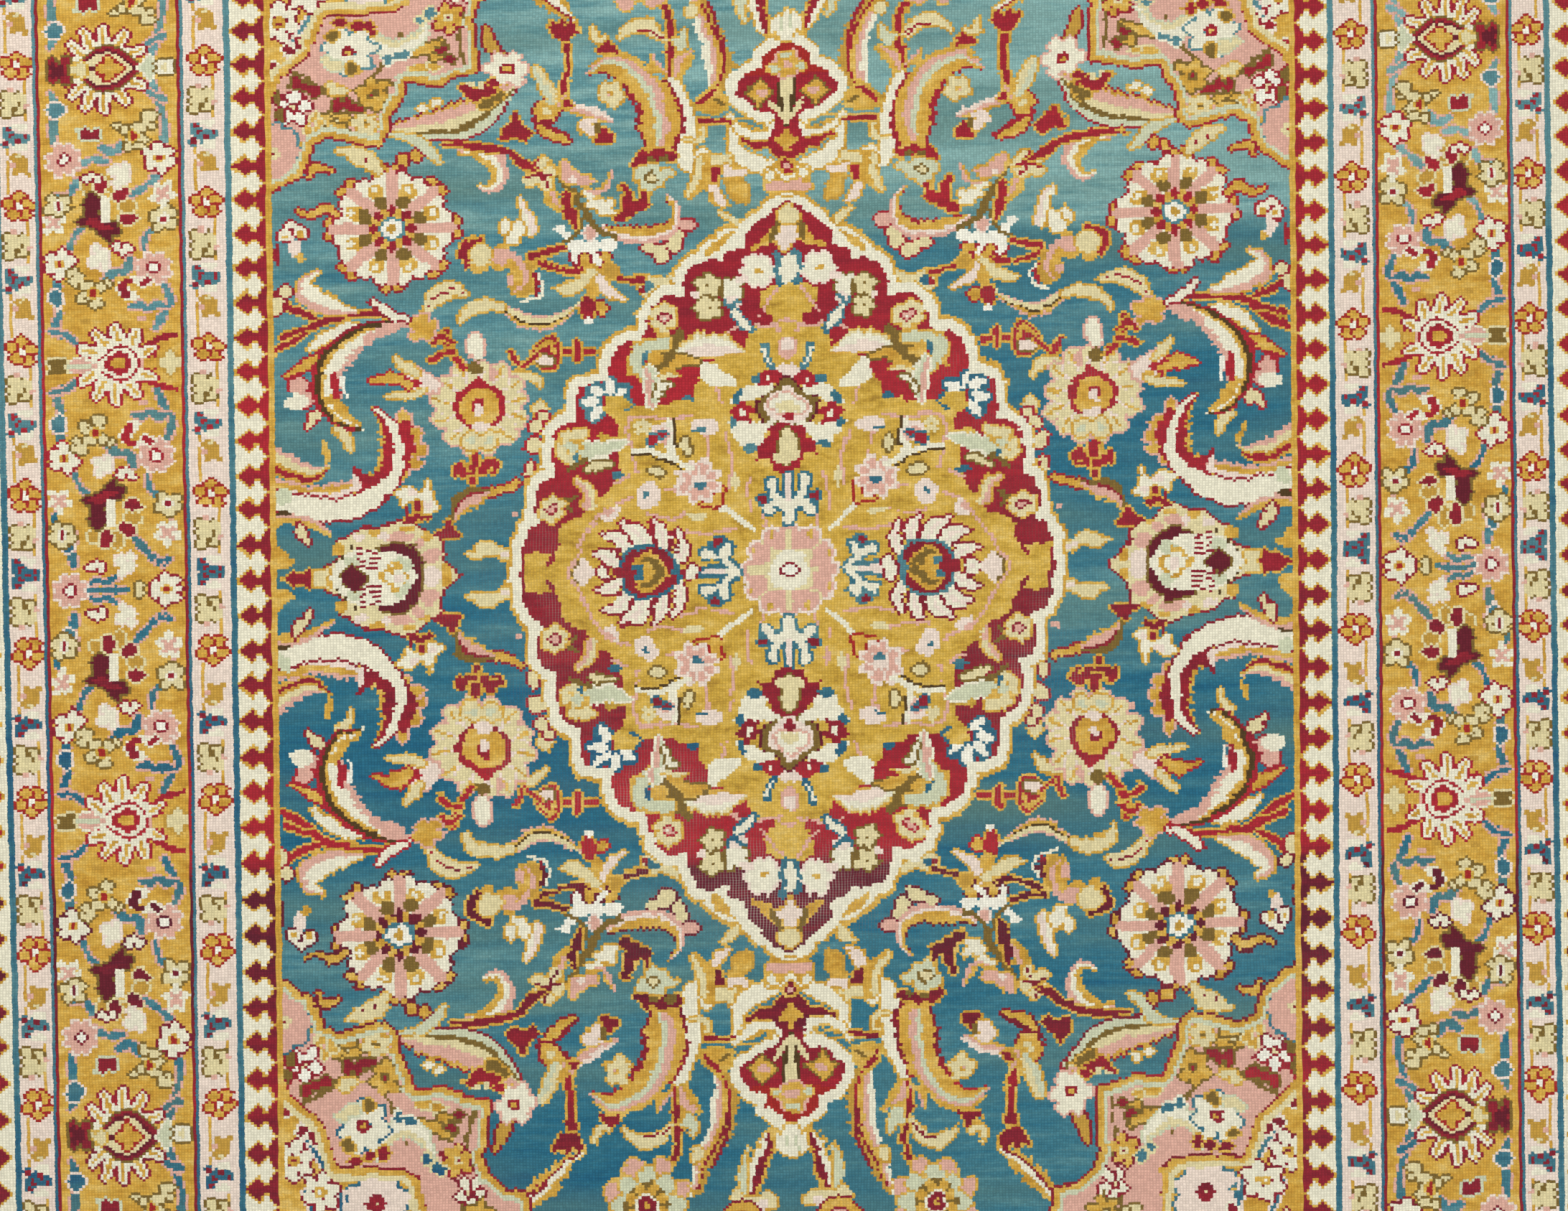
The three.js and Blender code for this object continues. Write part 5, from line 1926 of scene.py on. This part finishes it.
def is_colour(tree, digit, number):
    """One where the knot has that colour, else nought."""
    return tree.sum("COMPARE", digit, float(number), 0.1)


def dyed(tree, colour, digit):
    """Blue, red and gold wool in their dye lots."""
    long_streaks = tree.stretched(0.12)
    streaks = tree.noise(long_streaks, 70.0, 4.0, 0.7)
    streak = tree.sum("MULTIPLY", tree.sum("SUBTRACT", streaks, 0.5), 1.3)
    blue_depth = tree.sum("ADD", tree.attribute("blue_depth").outputs["Fac"], streak)
    blues = tree.ramp(blue_depth, [(0.0, (28, 92, 122)), (0.25, (42, 106, 128)), (0.5, (64, 120, 134)),
                                   (0.75, (96, 144, 148)), (1.0, (134, 174, 170))])
    greener = tree.noise(long_streaks, 16.0, 2.0, 0.5)
    greener = tree.sum("MULTIPLY", tree.sum("SUBTRACT", greener, 0.46, clamp=True), 3.0, clamp=True)
    blues = tree.mix(greener, blues, linear(86, 122, 116))
    teals = tree.ramp(blue_depth, [(0.0, (36, 88, 120)), (0.4, (56, 108, 124)), (0.8, (88, 134, 140))])
    red_depth = tree.sum("ADD", tree.attribute("red_depth").outputs["Fac"], streak)
    reds = tree.ramp(red_depth, [(0.0, (170, 40, 50)), (0.5, (142, 36, 48)), (1.0, (98, 32, 46))])
    blotches = tree.noise(tree.stretched(0.45), 75.0, 4.0, 0.7)
    golds = tree.ramp(blotches, [(0.32, (186, 138, 50)), (0.45, (203, 157, 62)), (0.55, (212, 170, 76)),
                                 (0.68, (222, 188, 106))])
    honeys = tree.ramp(blotches, [(0.32, (170, 132, 50)), (0.44, (198, 160, 62)),
                                  (0.56, (212, 175, 80)), (0.68, (222, 190, 106))])
    for number, lots in ((BLUE, blues), (TEAL, teals), (HONEY, honeys), (CRIMSON, reds), (GOLD, golds)):
        colour = tree.mix(is_colour(tree, digit, number), colour, lots)
    return colour


def knot_shape(tree, split):
    """The round top of each knot: high in its middle, low between knots."""
    waves = []
    for source in (split.outputs[0], split.outputs[1]):
        part = tree.sum("FRACT", source)
        waves.append(tree.sum("SINE", tree.sum("MULTIPLY", part, math.pi)))
    return tree.sum("MULTIPLY", waves[0], tree.sum("POWER", waves[1], 0.5))


def pile_material():
    """The pile: its wool, the grain of each knot, painted shade between the knots, and the pale warps
    where it is worn.
    """
    tree = Tree("wool pile")
    colour, digit, split = chart_colour(tree)
    colour = dyed(tree, colour, digit)
    cell = tree.add("ShaderNodeCombineXYZ")
    tree.links.new(tree.sum("FLOOR", split.outputs[0]), cell.inputs[0])
    tree.links.new(tree.sum("FLOOR", split.outputs[1]), cell.inputs[1])
    by_knot = tree.add("ShaderNodeTexWhiteNoise", noise_dimensions="2D")
    tree.links.new(cell.outputs[0], by_knot.inputs["Vector"])
    tone_and_shade = tree.sum("MULTIPLY_ADD", by_knot.outputs["Value"], 0.20, 0.90)
    fibre = tree.noise(tree.place, 900.0, 2.0, 0.6)
    tone_and_shade = tree.sum("MULTIPLY", tone_and_shade, tree.sum("MULTIPLY_ADD", fibre, 0.3, 0.85))
    # Painted shade: the knot's round top makes the colour lighter in its middle and darker between
    # knots.
    shape = knot_shape(tree, split)
    tone_and_shade = tree.sum("MULTIPLY", tone_and_shade, tree.sum("MULTIPLY_ADD", shape, 0.28, 0.83))
    colour = tree.mix(1.0, colour, tree.grey(tone_and_shade), "MULTIPLY")
    # Where the pile is worn, the pale warps show as dots between the knots.
    worn = tree.attribute("worn").outputs["Fac"]
    patchy = tree.noise(tree.place, 30.0, 4.0, 0.6)
    bare = tree.sum("MULTIPLY", worn, tree.sum("MULTIPLY_ADD", patchy, 2.4, -0.7), clamp=True)
    thin_dye = tree.sum("ADD", is_colour(tree, digit, CRIMSON), is_colour(tree, digit, WINE))
    bare = tree.sum("MULTIPLY", bare, tree.sum("MULTIPLY_ADD", thin_dye, 0.75, 0.25))
    low = tree.sum("SUBTRACT", 1.0, shape)
    dots = tree.sum("GREATER_THAN", low, 0.68)
    colour = tree.mix(tree.sum("MULTIPLY", tree.sum("MULTIPLY", dots, bare), 0.6), colour,
                      linear(214, 202, 186))
    combed = tree.noise(tree.place, 45.0, 3.0)
    normal = tree.bump(combed, 0.0012, 0.35)
    normal = tree.bump(shape, 0.0007, 0.6, normal)
    normal = tree.bump(fibre, 0.0004, 0.5, normal)
    tree.shader.inputs["Sheen Roughness"].default_value = 0.5
    return tree.finished(colour, 0.92, 0.15, normal, sheen=0.12)


def back_material():
    """The knots' backs: flat small ribs in the same colours, a little paler."""
    tree = Tree("back of the knots")
    colour, digit, split = chart_colour(tree)
    colour = dyed(tree, colour, digit)
    half_knots = tree.sum("FRACT", tree.sum("MULTIPLY", split.outputs[0], 2.0))
    ribs = tree.sum("SINE", tree.sum("MULTIPLY", half_knots, math.pi))
    wefts = tree.sum("SINE", tree.sum("MULTIPLY", tree.sum("FRACT", split.outputs[1]), math.pi))
    shape = tree.sum("MULTIPLY", ribs, wefts)
    weft_shows = tree.sum("LESS_THAN", wefts, 0.3)
    colour = tree.mix(tree.sum("MULTIPLY", weft_shows, 0.55), colour, linear(214, 204, 186))
    colour = tree.mix(0.16, colour, linear(206, 196, 180))
    return tree.finished(colour, 0.95, 0.1, tree.bump(shape, 0.0006, 0.6))


def dressed(piece, *materials):
    """Gives a piece its materials and smooth shading."""
    for material in materials:
        piece.data.materials.append(material)
    piece.data.polygons.foreach_set("use_smooth", np.ones(len(piece.data.polygons), bool))
    print(piece.name, "has", len(piece.data.polygons), "faces")


dressed(pile, pile_material(), back_material())
pile.data.polygons.foreach_set("material_index", is_under.astype(int))
print("materials:", [m.name for m in pile.data.materials])

# %% [markdown]
# ## Side cords
#
# Wool is wound round the outermost warps in close turns. Each cord is a tube whose radius
# rises and falls with the turns, which lean a little. The turns could be a material alone, but
# they show on the cord's outline, so they are in the mesh.

# %% Side cords
CORD_HALF_WIDE, CORD_HALF_HIGH, TURN_PITCH = 3.5, 3.15, 3.6
CORD_SIDES, STEPS_IN_TURN = 10, 4


def side_cord(name, side):
    """A tube of wound wool along one side."""
    steps = int(LENGTH / TURN_PITCH * STEPS_IN_TURN)
    along = np.linspace(-LENGTH / 2 + 1, LENGTH / 2 - 1, steps + 1)
    round_it = np.arange(CORD_SIDES) * 2 * np.pi / CORD_SIDES
    y, a = np.meshgrid(along, round_it, indexing="ij")
    phase = 2 * np.pi * y / TURN_PITCH + 0.9 * np.sin(a) + 0.3 * np.sin(y / 57)
    puff = 0.9 + 0.1 * np.abs(np.sin(phase / 2)) ** 0.6
    puff *= 1 - 0.02 * np.sin(y / 23) ** 2
    x = side * (WIDTH / 2 - CORD_HALF_WIDE) + CORD_HALF_WIDE * puff * np.cos(a)
    z = CORD_HALF_HIGH * (1 + puff * np.sin(a))
    place_x, place_y = woven(x.ravel(), y.ravel())
    tube = np.stack([place_x, place_y, z.ravel()], 1) / 1000
    ends = tube.reshape(steps + 1, CORD_SIDES, 3)[[0, -1]].mean(1)
    ring = np.arange(CORD_SIDES)
    after = np.roll(ring, -1)
    first = np.arange(steps)[:, None] * CORD_SIDES
    quads = np.stack([first + ring, first + after, first + CORD_SIDES + after,
                      first + CORD_SIDES + ring], 2)
    last = steps * CORD_SIDES
    near_cap, far_cap = len(tube), len(tube) + 1
    caps = [[near_cap, int(b), int(a)] for a, b in zip(ring, after)]
    caps += [[far_cap, int(last + a), int(last + b)] for a, b in zip(ring, after)]
    return make_mesh(name, np.vstack([tube, ends]).tolist(), quads.reshape(-1, 4).tolist() + caps)


def cord_material():
    """Ochre wool in close turns, with painted shade in the grooves between them."""
    tree = Tree("overcast wool")
    split = tree.split(tree.place)
    turns = tree.sum("SINE", tree.sum("MULTIPLY", split.outputs[1], math.pi * 1000 / TURN_PITCH))
    turns = tree.sum("ABSOLUTE", turns)
    lots = tree.noise(tree.place, 5.0, 2.0)
    colour = tree.ramp(lots, [(0.35, (150, 108, 48)), (0.5, (176, 132, 66)), (0.65, (196, 156, 92))])
    fibre = tree.noise(tree.place, 1100.0, 2.0)
    # Painted shade: the colour is darker in the grooves between the turns and lighter on their crowns.
    tone_and_shade = tree.sum("MULTIPLY", tree.sum("MULTIPLY_ADD", fibre, 0.4, 0.8),
                    tree.sum("MULTIPLY_ADD", turns, 0.3, 0.75))
    colour = tree.mix(1.0, colour, tree.grey(tone_and_shade), "MULTIPLY")
    return tree.finished(colour, 0.9, 0.2, tree.bump(fibre, 0.0004, 0.5))


wound = cord_material()
cords = [side_cord("left_cord", -1), side_cord("right_cord", 1)]
for cord in cords:
    dressed(cord, wound)

# %% [markdown]
# ## End webs
#
# A narrow strip of plain weave on the same warps keeps the knots from sliding off. It is a thin
# closed sheet, with a slightly frayed outer edge, and its threads are left to its material.

# %% End webs
WEB_FROM, WEB_TO = 1316.0, 1333.6
WEB_COLUMNS, WEB_ROWS = 556, 8


def end_web(name, end):
    """A thin strip of cloth past the last row of knots."""
    x = np.linspace(-WIDTH / 2 + 1.2, WIDTH / 2 - 1.2, WEB_COLUMNS + 1)
    y = end * np.linspace(WEB_FROM, WEB_TO, WEB_ROWS + 1)
    x, y = np.meshgrid(x, y)
    fray = np.random.default_rng(5 + end).uniform(-0.35, 0.35, x.shape)
    outer = (np.arange(WEB_ROWS + 1)[:, None] == WEB_ROWS)
    y = y + end * np.where(outer, fray, 0)
    lift = 1.9 + 0.25 * np.sin(2 * np.pi * x / 6.4) * np.cos(np.pi * np.arange(WEB_ROWS + 1)[:, None])
    top_x, top_y = woven(x.ravel(), y.ravel())
    top = np.stack([top_x, top_y, lift.ravel()], 1)
    low = np.stack([top_x, top_y, np.full(top_x.shape, 0.1)], 1)
    count = len(top)
    loop = loop_round(WEB_COLUMNS, WEB_ROWS)
    beyond = np.roll(loop, -1)
    walls = np.stack([beyond, loop, loop + count, beyond + count], 1)
    upper = grid_faces(WEB_COLUMNS, WEB_ROWS, 0, flipped=end < 0)
    lower = grid_faces(WEB_COLUMNS, WEB_ROWS, count, flipped=end > 0)
    if end < 0:
        walls = walls[:, ::-1]
    points = np.vstack([top, low]) / 1000
    return make_mesh(name, points.tolist(), np.vstack([upper, walls, lower]).tolist())


def web_material():
    """Undyed cotton in plain weave, with painted shade where its threads dip."""
    tree = Tree("plain weave")
    split = tree.split(tree.place)
    warps = tree.sum("SINE", tree.sum("MULTIPLY", split.outputs[0], math.pi * 1000 / 1.6))
    wefts = tree.sum("SINE", tree.sum("MULTIPLY", split.outputs[1], math.pi * 1000 / 1.1))
    weave = tree.sum("MULTIPLY", warps, wefts)
    fibre = tree.noise(tree.place, 700.0, 3.0)
    colour = tree.ramp(fibre, [(0.3, (196, 182, 150)), (0.7, (226, 214, 186))])
    # Painted shade: the colour is lighter where the threads cross over and darker where they dip.
    tone_and_shade = tree.sum("MULTIPLY_ADD", weave, 0.12, 0.9)
    colour = tree.mix(1.0, colour, tree.grey(tone_and_shade), "MULTIPLY")
    return tree.finished(colour, 0.95, 0.5, tree.bump(weave, 0.0005, 0.7))


plain = web_material()
webs = [end_web("near_web", -1), end_web("far_web", 1)]
for web in webs:
    dressed(web, plain)

# %% [markdown]
# Everything rides on the rug's one body and stands for its one solid.

# %% Bodies and solids
for piece in [pile] + cords + webs:
    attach(piece, "root")
    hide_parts("rug")

# %% [markdown]
# ## Floor, light and camera
#
# The light is soft and plain: a large lamp on each side, and a pale sky for the rest.

# %% Floor and light
bpy.ops.object.select_all(action="DESELECT")
bpy.ops.mesh.primitive_plane_add(size=14, location=(0, 0, -0.0005))
floor = bpy.context.object
floor.name = "floor"
floor.data.materials.append(Tree("pale floor").finished(linear(222, 220, 216), 0.8, 0.5))


def soft_light(name, place, aim, size, watts, tint):
    """A square lamp at a place, turned to what it lights."""
    lamp = bpy.data.lights.new(name, "AREA")
    lamp.shape = "RECTANGLE"
    lamp.size, lamp.size_y = size
    lamp.energy = watts
    lamp.color = tint
    holder = bpy.data.objects.new(name, lamp)
    holder.location = place
    from_to = np.array(aim, float) - np.array(place, float)
    level = math.hypot(from_to[0], from_to[1])
    holder.rotation_euler = (math.atan2(level, -from_to[2]), 0,
                             math.atan2(from_to[0], -from_to[1]) + math.pi)
    bpy.context.scene.collection.objects.link(holder)
    return holder


soft_light("key", (-1.9, 2.6, 3.4), (0, 0, 0), (2.6, 2.0), 116, (1.0, 0.985, 0.96))
soft_light("fill", (2.6, -1.6, 3.6), (0, 0, 0), (3.0, 2.6), 70, (0.97, 0.985, 1.0))

sky = bpy.data.worlds.new("studio")
sky.use_nodes = True
sky.node_tree.nodes["Background"].inputs["Color"].default_value = (1, 1, 1, 1)
sky.node_tree.nodes["Background"].inputs["Strength"].default_value = 0.48
bpy.context.scene.world = sky
bpy.context.scene.view_settings.view_transform = "Standard"

# %% [markdown]
# The photo looks straight down. A pixel of it is 0.76 mm on the rug, and the rug lies turned
# by less than a degree.

# %% Camera
PIXEL, PHOTO_WIDE, PHOTO_HIGH = 0.76, 2184, 1687
MIDDLE_PIXEL = (1098.5, 793.6)
TURN = 0.0119
LENS, SENSOR = 85.0, 36.0

off_x = (PHOTO_WIDE / 2 - MIDDLE_PIXEL[0]) * PIXEL
off_y = (MIDDLE_PIXEL[1] - PHOTO_HIGH / 2) * PIXEL
aim_x = off_x * math.cos(TURN) + off_y * math.sin(TURN) - MIDDLE[0]
aim_y = off_y * math.cos(TURN) - off_x * math.sin(TURN) - MIDDLE[1]
distance = PHOTO_WIDE * PIXEL * LENS / SENSOR / 1000

eye = bpy.data.cameras.new("camera")
eye.lens, eye.sensor_width = LENS, SENSOR
eye.clip_start, eye.clip_end = 0.1, 50
camera = bpy.data.objects.new("camera", eye)
camera.location = (aim_x / 1000, aim_y / 1000, distance + PILE_TOP / 1000)
camera.rotation_euler = (0, 0, -TURN)
bpy.context.scene.collection.objects.link(camera)
bpy.context.scene.camera = camera
print("camera at", [round(c, 4) for c in camera.location])

# %% Finish
note_size()
